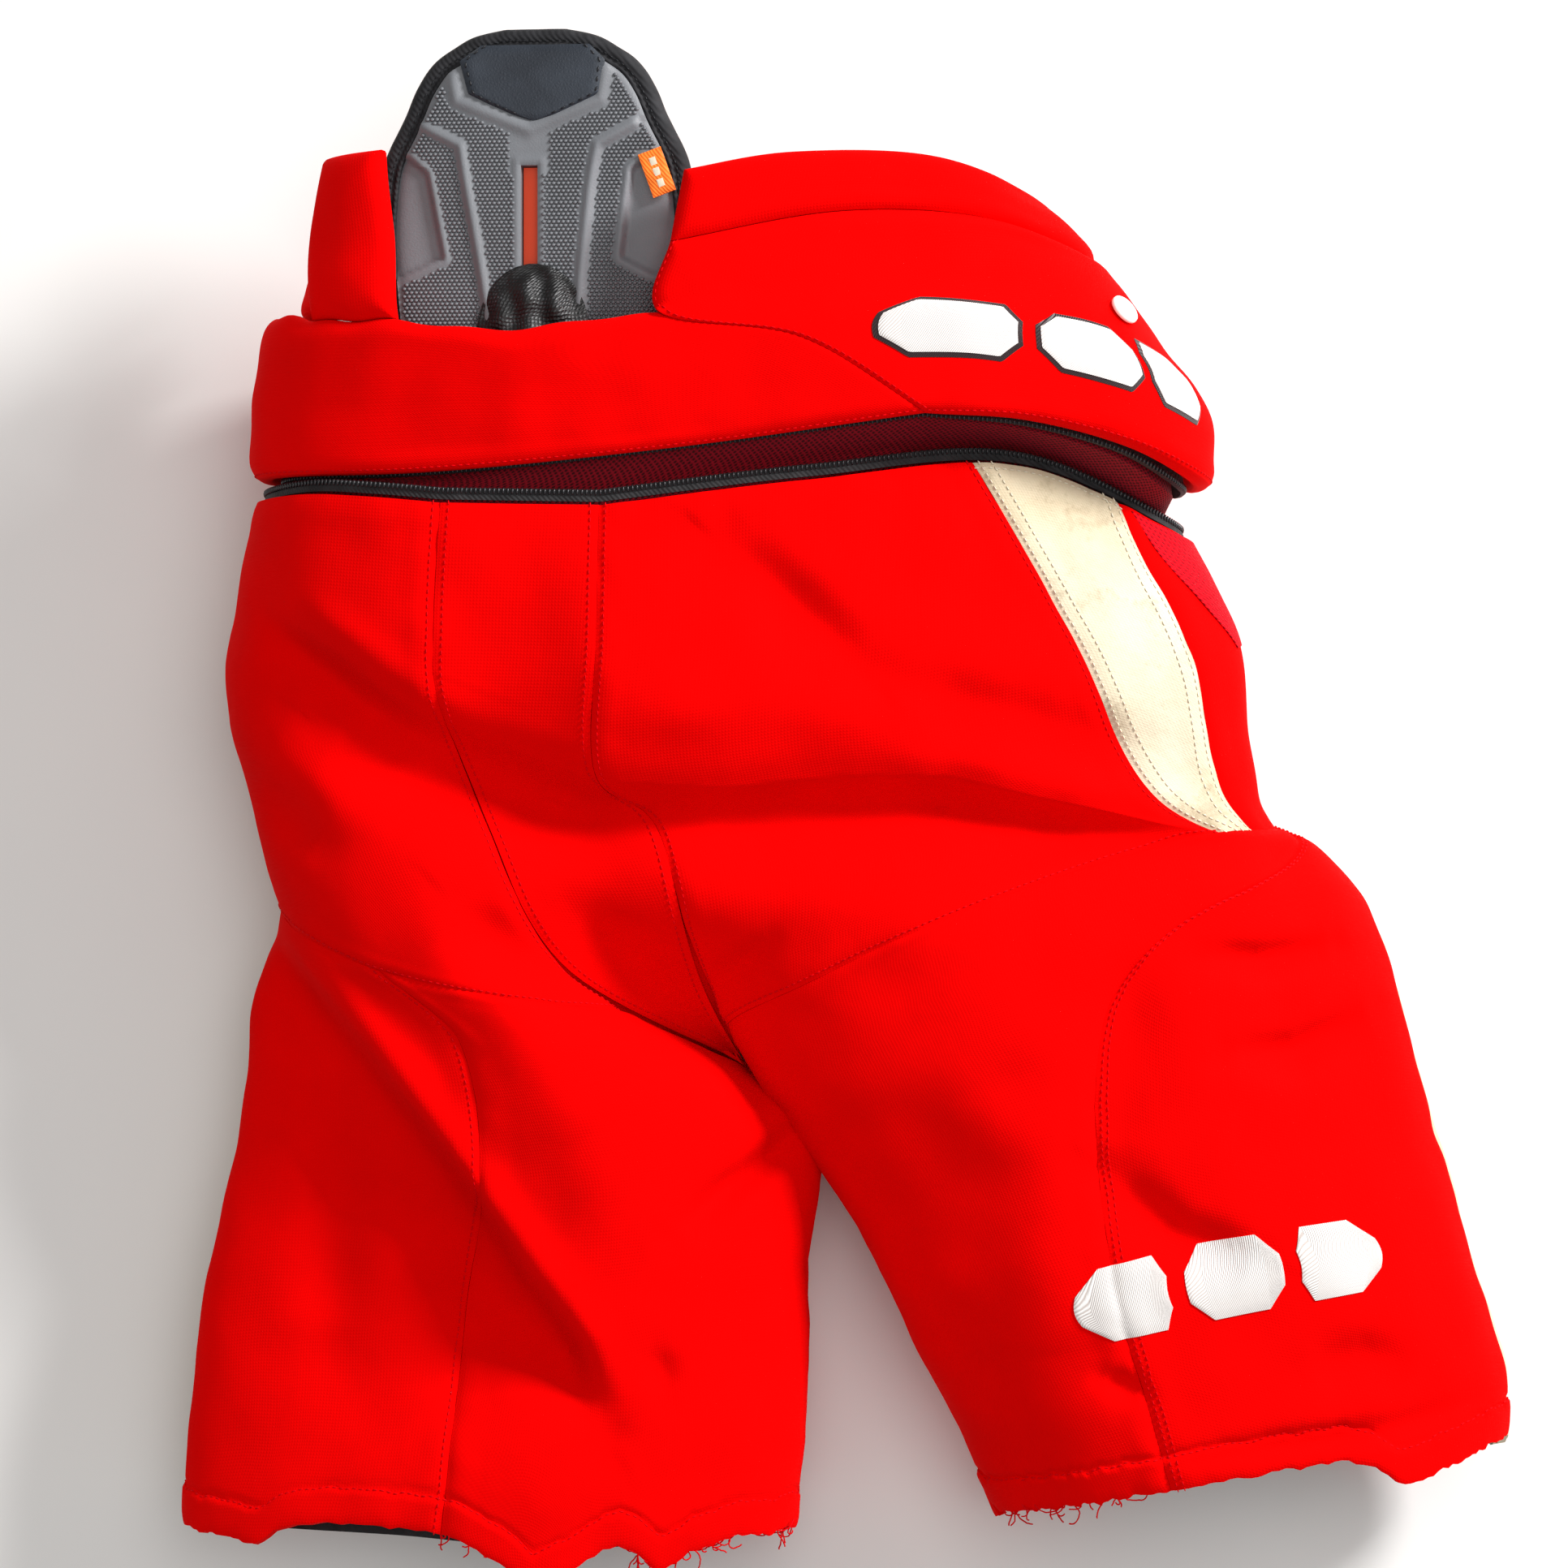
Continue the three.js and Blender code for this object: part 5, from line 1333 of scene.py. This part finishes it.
def build_guard_board():
    """Moulds the foam board with its slot and its field of studs."""
    left, right, low, high = SLOT
    core = np.unique(np.concatenate([np.linspace(-14, 14, 21), [left - 0.1, left + 0.1, right - 0.1, right + 0.1]]))
    wings = np.linspace(0, 1, 40)[1:]
    y = np.unique(np.concatenate([np.linspace(-2.5, 174.4, 118), [low - 0.1, low + 0.1, high - 0.1, high + 0.1]]))
    wide = guard_half_width(y, 9.4)[:, None]
    x = np.concatenate([-(14 + wings[::-1] * (wide - 14)), np.broadcast_to(core, (len(y), len(core))),
        14 + wings * (wide - 14)], 1)
    yy = np.broadcast_to(y[:, None], x.shape)
    xy = np.stack([x, yy], -1).reshape(-1, 2)
    z = GUARD_THICK + guard_relief(xy).reshape(x.shape)
    near = np.minimum(wide - abs(x), 175 - yy)
    z = z - 1.6 * np.exp(-near / 2.5)
    outer = on_guard(np.stack([x, yy, z], -1))
    inner = on_guard(np.stack([x, yy, 0 * x + 0.2], -1))
    piece = solid("guard_board", outer, inner, finish("foam"))
    put_on(piece, "spine_guard", "moulded_foam", "guard_board")
    pitch = bpy.context.scene.pants_sizes.stud_pitch * 1000
    gx, gy = np.meshgrid(np.arange(-70, 70, pitch), np.arange(0, 174, pitch * 0.8))
    gx = gx + (np.arange(gx.shape[0]) % 2)[:, None] * pitch / 2
    xy = np.column_stack([gx.ravel(), gy.ravel()])
    keep = guard_half_width(xy[:, 1], 9.4) - abs(xy[:, 0]) > 2
    for line, clear in ((LEFT_RIB, 3.6), (RIGHT_RIB, 3.6), (YOKE, 4.6)):
        keep &= abs(away_from(line, xy)[0]) > clear
    for field in (LEFT_FIELD, RIGHT_FIELD):
        keep &= inside_of(field, xy) < -4
    yoke_over = inside_of([(-42, 180), (-35.5, 152), (-2, 138), (30.5, 152), (36, 180)], xy)
    keep &= yoke_over < 0
    keep &= ~((abs(xy[:, 0] + 2) < 9) & (xy[:, 1] > 117) & (xy[:, 1] < 140))
    keep &= ~((abs(xy[:, 0] + 2) < 6.6) & (xy[:, 1] > 50) & (xy[:, 1] < 124))
    xy = xy[keep]
    studs = on_guard(np.column_stack([xy, GUARD_THICK + guard_relief(xy) + 0.15]))
    size = (pitch * 0.00094, pitch * 0.0008, 0.0007)
    repeated("guard_board_studs", to_metres(studs), "stud_field", "spine_guard", "moulded_foam", pitch / 1000, size,
        "foam", -GUARD_TILT)


def build_guard_binding():
    """A bound edge: folded tape round the rim, with a piped line inside it."""
    loop, out = guard_loop()
    profile = [(0, 4.5), (0.2, 6.6), (1.2, 8.6), (3.2, 9.9), (5.4, 10.0), (6.6, 9.2), (7.2, 9.3), (7.8, 10.2),
        (8.8, 10.4),
               (9.4, 9.6), (9.3, 7), (9.2, 3.2), (5, 2.6), (1.4, 2.9), (0.3, 3.6)]
    wave = 0.25 * np.sin(np.arange(len(loop)) * 0.9) + 0.2 * np.sin(np.arange(len(loop)) * 0.23)
    rings = []
    for inset, z in profile:
        flat = loop - out * (inset + (0.15 * wave if inset < 4 else 0 * wave))[:, None]
        rings.append(np.column_stack([flat, z + 0.3 * wave]))
    grid = on_guard(np.array(rings))
    points = to_metres(grid.reshape(-1, 3))
    m, n = grid.shape[:2]
    index = np.arange(m * n).reshape(m, n)
    nxt, side = np.roll(index, -1, 0), np.roll(index, -1, 1)
    faces = np.stack([index, side, np.roll(side, -1, 0), nxt], -1).reshape(-1, 4)
    mesh = bpy.data.meshes.new("guard_binding")
    mesh.from_pydata(points.tolist(), [], faces.tolist())
    piece = bpy.data.objects.new("guard_binding", mesh)
    bpy.context.collection.objects.link(piece)
    face_out(mesh)
    mesh.materials.append(finish("binding"))
    mesh.shade_smooth()
    put_on(piece, "spine_guard", "binding", "guard_binding")


def face_out(mesh):
    """Turns a closed mesh so that its faces point outwards."""
    a, b = np.zeros(len(mesh.vertices) * 3), 0.0
    mesh.vertices.foreach_get("co", a)
    a = a.reshape(-1, 3)
    for face in mesh.polygons:
        p = [a[k] for k in face.vertices]
        for k in range(1, len(p) - 1):
            b += np.dot(p[0], np.cross(p[k], p[k + 1]))
    if b < 0:
        mesh.flip_normals()


def guard_trim(name, left, right, low, high, z, thick, coat, slot_name, rows=26, puff=0.6, wrinkle=0.0, dome=4):
    """A flat piece sewn on the guard's face, thinner at its rim."""
    y = np.linspace(low, high, rows)[:, None]
    s = np.linspace(0, 1, 34)[None]
    a, b = left(y), right(y)
    x = a + (b - a) * s
    yy = y + 0 * x
    near = np.minimum(np.minimum(x - a, b - x), np.minimum(yy - low, high - yy))
    rise = thick + puff * smooth(0, dome, near) - 0.5 * np.exp(-near / 0.7)
    flat = np.stack([x, yy, 0 * x], -1)
    rise = rise + wrinkle * ripple(flat, 12, 3) * smooth(0, 5, near)
    outer = on_guard(np.stack([x, yy, z + rise], -1))
    inner = on_guard(np.stack([x, yy, z + 0 * x], -1))
    GRIDS[name] = (outer, np.broadcast_to(np.array([-math.sin(GUARD_TILT), 0, math.cos(GUARD_TILT)]), outer.shape))
    piece = solid(name, outer, inner, finish(coat))
    put_on(piece, "spine_guard", slot_name, name)
    return piece


def build_spine_guard():
    """Puts the spine guard together from its board, binding, patch, sleeve and label."""
    build_guard_board()
    build_guard_binding()
    repaint("guard_slot_insert", "orange")
    top = GUARD_THICK + 0.4
    ys = [141.5, 144, 149, 154, 169, 176]
    guard_trim(
        "guard_top_patch", lambda y: np.interp(y, ys, [-1, -9, -20, -30, -34, -24]),
        lambda y: np.interp(y, ys, [1.5, 10, 21, 31.5, 33, 26]), 141.5, 176, top, 1.2, "patch", "dark_patch", rows=40,
    )
    half = lambda y: np.where(y < 44, 26, 26 * np.sqrt(np.maximum(1 - ((y - 44) / 32) ** 2, 0.002)))
    guard_trim(
        "guard_mesh_sleeve", lambda y: -half(y), half, 14, 75.9, top, 1.2, "sleeve", "black_mesh", rows=50, puff=5,
        wrinkle=1.6,
        dome=16,
    )
    build_guard_tag(top)
    seam = edge_line("guard_top_patch", "left", 2.6, 0.1, 0.98, 0.1), edge_line("guard_top_patch", "right", 2.6, 0.1,
        0.98, 0.1)
    repeated(
        "guard_patch_stitching", list(seam), "bead_row", "spine_guard", "dark_patch", 0.0042, (0.0028, 0.001, 0.0009),
        "black_thread",
    )
    loop, out = guard_loop()
    keep = loop[:, 1] > 20
    ring = np.column_stack([loop - out * 5.9, 0 * loop[:, 0] + 10.1])[keep]
    order = np.argsort(np.arctan2(ring[:, 1] - 80, ring[:, 0]))
    ring = ring[order]
    repeated(
        "guard_binding_stitching", [to_metres(on_guard(ring[ring[:, 1] > 22]))], "bead_row", "spine_guard", "binding",
        0.0032,
        (0.0022, 0.0006, 0.0006), "black_thread",
    )


def build_guard_tag(top):
    """A folded woven label with plain bars."""
    turn = 0.35
    c, s = math.cos(turn), math.sin(turn)

    def place(x, y, z):
        return on_guard(np.stack([57 + x * c - y * s, 117 + x * s + y * c, z], -1))

    def slab(name, x0, x1, y0, y1, z, thick, coat):
        x, y = np.meshgrid(np.linspace(x0, x1, 12), np.linspace(y0, y1, 20))
        near = np.minimum(np.minimum(x - x0, x1 - x), np.minimum(y - y0, y1 - y))
        rise = thick - 0.4 * thick * np.exp(-near / 0.5) + 0.35 * np.sin((y - y0) * 0.16)
        return solid(name, place(x, y, z + rise), place(x, y, z + 0 * x + 0.35 * np.sin((y - y0) * 0.16)), finish(coat))

    parts = [slab("guard_tag_base", -5.5, 5.5, -10.5, 10.5, top, 1.2, "tag")]
    for k, (low, high) in enumerate(((-7, -3.4), (-2, 2), (3.4, 7))):
        parts.append(slab(f"guard_tag_bar_{k}", -1.4, 1.6, low, high, top + 1.25, 0.35, "pale_thread"))
    put_on(joined("guard_tag", parts), "spine_guard", "orange_tag", "guard_tag")


# ---------- fastenings ----------
BUTTON_PANELS = {
    "button_back_right": "right_hip_band",
    "button_back_left": "left_front_belt",
    "button_front_right_outer": "right_front_belt",
    "button_front_right_inner": "right_front_belt",
    "button_front_left_outer": "left_front_belt",
    "button_front_left_inner": "left_front_belt",
}


def build_buttons():
    """Moulded buttons with a dished face, standing on the band."""
    profile = np.array([(0, 0), (6.0, 0), (7.3, 0.5), (7.5, 1.3), (7.2, 2.5), (6.4, 3.1), (5.6, 3.0), (4.6, 2.6),
        (0, 2.5)])
    rows = [
        ("button_back_right", WING, 0.69, 2.05), ("button_back_left", BAND, 1.16, 1.6),
        ("button_front_right_outer", WING, 1.35, 1.55), ("button_front_right_inner", WING, 1.8, 1.65),
        ("button_front_left_outer", BAND, 1.5, 1.65), ("button_front_left_inner", BAND, 1.85, 1.65),
    ]
    for name, skin, u, v in rows:
        foot, out = skin.point(u, v), skin.outward(u, v)
        right = np.cross((0, 1, 0), out)
        right /= np.linalg.norm(right)
        up = np.cross(out, right)
        round_it = foot + 6 * np.array([right, up, -right, -up])
        heights = cloth_height([BUTTON_PANELS[name]], round_it, np.tile(out, (4, 1)))
        east, north, west, south = round_it + heights[:, None] * out
        centre = (east + north + west + south) / 4
        out = np.cross(east - west, north - south)
        out /= np.linalg.norm(out)
        right = (east - west) / np.linalg.norm(east - west)
        up = np.cross(out, right)
        centre = centre + 0.9 * out
        turn = np.linspace(0, 2 * np.pi, 40, endpoint=False)
        rings = [
            centre + r * (np.cos(turn)[:, None] * right + np.sin(turn)[:, None] * up) + z * out for r,
            z in profile[1:-1]
        ]
        points = np.concatenate([*rings, [centre + profile[0, 1] * out], [centre + profile[-1, 1] * out]])
        faces = []
        n = len(turn)
        for ring in range(len(rings) - 1):
            for k in range(n):
                faces.append((ring * n + k, ring * n + (k + 1) % n, (ring + 1) * n + (k + 1) % n, (ring + 1) * n + k))
        for k in range(n):
            faces.append((len(rings) * n, (k + 1) % n, k))
            faces.append((len(rings) * n + 1, (len(rings) - 1) * n + k, (len(rings) - 1) * n + (k + 1) % n))
        mesh = bpy.data.meshes.new(name)
        mesh.from_pydata(to_metres(points).tolist(), [], faces)
        face_out(mesh)
        mesh.materials.append(finish("button"))
        mesh.shade_smooth()
        piece = bpy.data.objects.new(name, mesh)
        bpy.context.collection.objects.link(piece)
        put_on(piece, "waist", "button_plastic", name)


def build_belt():
    """Webbing that crosses the fly, and its side-release buckle."""
    for name, skin, start, body in (("belt_left", BAND, 1.68, "waist"), ("belt_right", WING, 1.52, "belt_end")):
        cloth_panel(
            name, skin, constant(start), constant(2), constant(0.66), constant(1.33), "webbing", body, "webbing",
            (name,),
            thick=2, depth=-2.2, seams="", wrinkled=False,
        )
    for node in ("belt_socket", "belt_plug"):
        repaint(node, "acetal")


# ---------- stitching and loose threads ----------
def build_stitching():
    """Runs top stitching along the seams."""
    right_red = [
        edge_line("right_seat_panel", "left", 3.2), edge_line("right_seat_panel", "right", 3),
        edge_line("right_seat_panel", "bottom", 3), edge_line("right_outer_thigh", "left", 3.2),
        edge_line("right_outer_thigh", "left", 6.4),
    ]
    left_red = [edge_line("left_seat_panel", "left", 3.2), edge_line("left_seat_panel", "bottom", 3)]
    left_red.append(edge_line("left_outer_thigh", "left", 3.2))
    hem = bpy.context.scene.pants_sizes.hem_fold * 1000
    for part in ("back_thigh", "outer_thigh", "front_thigh"):
        right_red.append(edge_line(f"right_{part}", "bottom", hem))
        left_red.append(edge_line(f"left_{part}", "bottom", hem))
    size = bpy.context.scene.pants_sizes
    bead = (size.stitch_pitch * 0.72, size.thread, size.thread)
    rows = [
        ("right_side_stitching", right_red, RIGHT_HIP, "red_nylon", "red_thread"),
        ("left_side_stitching", left_red, LEFT_HIP, "red_nylon", "red_thread"),
        (
            "right_stripe_stitching",
            [edge_line("right_hip_stripe", edge, inset) for edge in ("left", "right") for inset in (3, 9)]
            + [edge_line("right_hip_stripe", "top", 3)],
            RIGHT_HIP, "white_panel", "pale_thread",
        ),
        (
            "waist_stitching",
            [edge_line("back_band", "top", 4), edge_line("right_hip_band", "top", 4),
            edge_line("right_hip_band", "left", 3.5)],
            "waist", "red_nylon", "red_thread",
        ),
        ("gusset_stitching", [edge_line("seat_gusset", "left", 12), edge_line("seat_gusset", "right", 12)], "pelvis",
        "red_nylon", "red_thread"),
    ]
    for name, lines, body, slot_name, coat in rows:
        repeated(name, lines, "bead_row", body, slot_name, size.stitch_pitch, bead, coat)


def loose_threads(points, n, seed, longest):
    """Seeded curls of yarn that hang from points of a worn hem and lie towards the floor."""
    rng = np.random.default_rng(seed)
    lines = []
    for _ in range(n):
        p = points[rng.integers(len(points))].copy()
        ahead = rng.uniform(-2.6, -0.5)
        reach = rng.uniform(0.25, 1) * longest
        line = [p.copy()]
        bend = rng.normal(0, 0.16)
        for _ in range(12):
            ahead += bend + rng.normal(0, 0.22)
            p = p + np.array([math.cos(ahead), math.sin(ahead), rng.uniform(-0.75, -0.1)]) * reach / 12
            p[2] = max(p[2], 0.0008)
            line.append(p.copy())
        lines.append(np.array(line))
    return lines


def build_loose_threads():
    """Hangs loose yarn from the worn hems."""
    rows = [
        ("left_hem_threads", "left_back_thigh", ((0.12, 0.3, 9), (0.36, 0.62, 26), (0.86, 1.0, 7)), "left_leg"),
        ("right_hem_threads", "right_back_thigh", ((0.2, 0.9, 22),), "right_leg"),
    ]
    for seed, (name, panel, spans, leg) in enumerate(rows):
        grid = to_metres(GRIDS[panel][0])
        lines = []
        for k, (low, high, n) in enumerate(spans):
            edge = grid[-1]
            piece = edge[round(low * (len(edge) - 1)) : round(high * (len(edge) - 1)) + 1]
            lines += loose_threads(piece, n, 10 * seed + k + 3, 0.013)
        threads = tube(name, lines, 0.00035, "red_thread")
        put_on(threads, leg, "red_nylon")


# ---------- the stage ----------
def build_stage():
    """Sets the floor, the lights and the camera."""
    mesh = bpy.data.meshes.new("floor")
    mesh.from_pydata([(-4, -4, -0.0006), (4, -4, -0.0006), (4, 4, -0.0006), (-4, 4, -0.0006)], [], [(0, 1, 2, 3)])
    floor = bpy.data.objects.new("floor", mesh)
    bpy.context.collection.objects.link(floor)
    mesh.materials.append(paper_floor())
    scene = bpy.context.scene
    lens = bpy.data.cameras.new("overhead_camera")
    lens.lens, lens.sensor_width = 105, 36
    lens.clip_start = 0.01
    camera = bpy.data.objects.new("overhead_camera", lens)
    camera.location = (-0.0286, 0.0075, 2.225)
    bpy.context.collection.objects.link(camera)
    scene.camera = camera
    rows = [
        ("window_light", (1.6, 1.25, 1.15), 0.55, 78),
        ("ceiling_light", (0.3, 0.3, 2.6), 1.6, 20),
    ]
    for name, place, size, power in rows:
        lamp = bpy.data.lights.new(name, "AREA")
        lamp.energy, lamp.size = power, size
        light = bpy.data.objects.new(name, lamp)
        light.location = place
        light.rotation_euler = (Vector((0, 0, 0.05)) - Vector(place)).to_track_quat("-Z", "Y").to_euler()
        bpy.context.collection.objects.link(light)
    world = bpy.data.worlds.new("soft_room")
    world.use_nodes = True
    world.node_tree.nodes["Background"].inputs["Color"].default_value = (1, 0.99, 0.98, 1)
    world.node_tree.nodes["Background"].inputs["Strength"].default_value = 0.4
    scene.world = world
    scene.view_settings.view_transform = "Standard"


# ---------- settings, operators and panel ----------
class PantsSizes(bpy.types.PropertyGroup):
    """Sizes of the cloth, the stitching and the studs"""

    cell: bpy.props.FloatProperty(name="Cell", description="Spacing of a panel's mesh", default=0.003, unit="LENGTH")
    seam_depth: bpy.props.FloatProperty(
        name="Seam Depth", description="How far a seam draws the cloth in", default=0.0009, unit="LENGTH"
    )
    wrinkle: bpy.props.FloatProperty(name="Wrinkle", description="Height of the cloth's soft waves", default=0.0021,
        unit="LENGTH")
    hem_fold: bpy.props.FloatProperty(name="Hem Fold", description="Depth of the sewn hem", default=0.017,
        unit="LENGTH")
    stitch_pitch: bpy.props.FloatProperty(
        name="Stitch Pitch", description="Spacing of the top stitching", default=0.0034, unit="LENGTH"
    )
    thread: bpy.props.FloatProperty(name="Thread", description="Diameter of the top stitching", default=0.0007,
        unit="LENGTH")
    stud_pitch: bpy.props.FloatProperty(
        name="Stud Pitch", description="Spacing of the small studs moulded on the spine guard", default=0.0022,
        unit="LENGTH"
    )


class PantsColours(bpy.types.PropertyGroup):
    """Colours of the cloth, the net and the spine guard"""

    nylon: bpy.props.FloatVectorProperty(
        name="Nylon", description="Main cloth", subtype="COLOR", default=linear("#f00000"), min=0, max=1
    )
    stripe: bpy.props.FloatVectorProperty(
        name="Stripe", description="Side stripes, yellowed white", subtype="COLOR", default=linear("#dccfb6"), min=0,
        max=1
    )
    net: bpy.props.FloatVectorProperty(
        name="Net", description="Net between the waist and the seat", subtype="COLOR", default=linear("#93051c"),
        min=0, max=1
    )
    foam: bpy.props.FloatVectorProperty(
        name="Foam", description="Moulded foam of the spine guard", subtype="COLOR", default=linear("#6a6c70"), min=0,
        max=1
    )
    orange: bpy.props.FloatVectorProperty(
        name="Orange", description="Insert in the spine guard's slot", subtype="COLOR", default=linear("#f2450c"),
        min=0, max=1
    )


def build_legs():
    """Builds the right leg and the left leg."""
    build_leg(
        "right", RIGHT, RIGHT_LEG_SEAM, RIGHT_HEM, listed([1.0, 0.77, 0.56, 0.475, 0.43, 0.41, 0.4], 2.3, 8),
        listed([1.14, 1.05, 0.98, 0.97, 0.97, 0.97, 0.97], 2.3, 8),
        listed([1.3, 1.22, 1.17, 1.16, 1.16, 1.16, 1.16], 2.3, 8),
        RIGHT_HIP, 4.25, HEM_RIGHT,
    )
    build_leg(
        "left", LEFT, LEFT_LEG_SEAM, LEFT_HEM, listed([0.56, 0.555, 0.545, 0.54, 0.536], 4, 9), constant(1.02),
        constant(1.2),
        LEFT_HIP, 4.6, HEM_LEFT,
    )


class PANTS_OT_stage(bpy.types.Operator):
    """Set the floor, the lights and the camera"""

    bl_idname = "pants.stage"
    bl_label = "Stage"

    def execute(self, context):
        build_stage()
        return {"FINISHED"}


class PANTS_OT_seat(bpy.types.Operator):
    """Build the seat panels, the gussets and the tailbone pad"""

    bl_idname = "pants.seat"
    bl_label = "Seat"

    def execute(self, context):
        build_seat()
        build_tailbone_pad()
        return {"FINISHED"}


class PANTS_OT_legs(bpy.types.Operator):
    """Build the panels and liners of both legs"""

    bl_idname = "pants.legs"
    bl_label = "Legs"

    def execute(self, context):
        build_legs()
        return {"FINISHED"}


class PANTS_OT_waist(bpy.types.Operator):
    """Build the padded band, belts, wings and tongue"""

    bl_idname = "pants.waist"
    bl_label = "Waist"

    def execute(self, context):
        build_waist()
        return {"FINISHED"}


class PANTS_OT_zip(bpy.types.Operator):
    """Build the zip tapes, their coils and the net"""

    bl_idname = "pants.zip"
    bl_label = "Zip"

    def execute(self, context):
        build_zip()
        return {"FINISHED"}


class PANTS_OT_spine_guard(bpy.types.Operator):
    """Build the moulded guard with its binding, patch, sleeve and label"""

    bl_idname = "pants.spine_guard"
    bl_label = "Spine Guard"

    def execute(self, context):
        build_spine_guard()
        return {"FINISHED"}


class PANTS_OT_marks(bpy.types.Operator):
    """Build the embroidered marks"""

    bl_idname = "pants.marks"
    bl_label = "Marks"

    def execute(self, context):
        build_marks()
        return {"FINISHED"}


class PANTS_OT_fastenings(bpy.types.Operator):
    """Build the buttons and the belt"""

    bl_idname = "pants.fastenings"
    bl_label = "Fastenings"

    def execute(self, context):
        build_buttons()
        build_belt()
        return {"FINISHED"}


class PANTS_OT_stitching(bpy.types.Operator):
    """Sew the top stitching"""

    bl_idname = "pants.stitching"
    bl_label = "Stitching"

    def execute(self, context):
        build_stitching()
        return {"FINISHED"}


class PANTS_OT_threads(bpy.types.Operator):
    """Pull loose threads from the worn hems"""

    bl_idname = "pants.threads"
    bl_label = "Loose Threads"

    def execute(self, context):
        build_loose_threads()
        return {"FINISHED"}


OPERATORS = [
    PANTS_OT_stage,
    PANTS_OT_seat,
    PANTS_OT_legs,
    PANTS_OT_waist,
    PANTS_OT_zip,
    PANTS_OT_spine_guard,
    PANTS_OT_marks,
    PANTS_OT_fastenings,
    PANTS_OT_stitching,
    PANTS_OT_threads,
]


class PANTS_PT_parts(bpy.types.Panel):
    """Lists what the pants are made of"""

    bl_label = "Hockey Pants"
    bl_idname = "PANTS_PT_parts"
    bl_space_type = "VIEW_3D"
    bl_region_type = "UI"
    bl_category = "Hockey Pants"

    def draw(self, context):
        for made in OPERATORS:
            self.layout.operator(made.bl_idname)
        for group in (context.scene.pants_sizes, context.scene.pants_colours):
            for key in group.__annotations__:
                self.layout.prop(group, key)


CLASSES = [PantsSizes, PantsColours, *OPERATORS, PANTS_PT_parts]


def register():
    """Adds the classes and the scene's two groups of values."""
    for made in CLASSES:
        bpy.utils.register_class(made)
    bpy.types.Scene.pants_sizes = bpy.props.PointerProperty(type=PantsSizes)
    bpy.types.Scene.pants_colours = bpy.props.PointerProperty(type=PantsColours)


def unregister():
    """Takes away what register added."""
    del bpy.types.Scene.pants_colours
    del bpy.types.Scene.pants_sizes
    for made in reversed(CLASSES):
        bpy.utils.unregister_class(made)


def main():
    """Builds the pants."""
    register()
    bpy.ops.pants.stage()
    bpy.ops.pants.seat()
    bpy.ops.pants.legs()
    bpy.ops.pants.waist()
    bpy.ops.pants.zip()
    bpy.ops.pants.spine_guard()
    bpy.ops.pants.marks()
    bpy.ops.pants.fastenings()
    bpy.ops.pants.stitching()
    bpy.ops.pants.threads()
    bpy.context.view_layer.update()


if __name__ == "__main__":
    main()
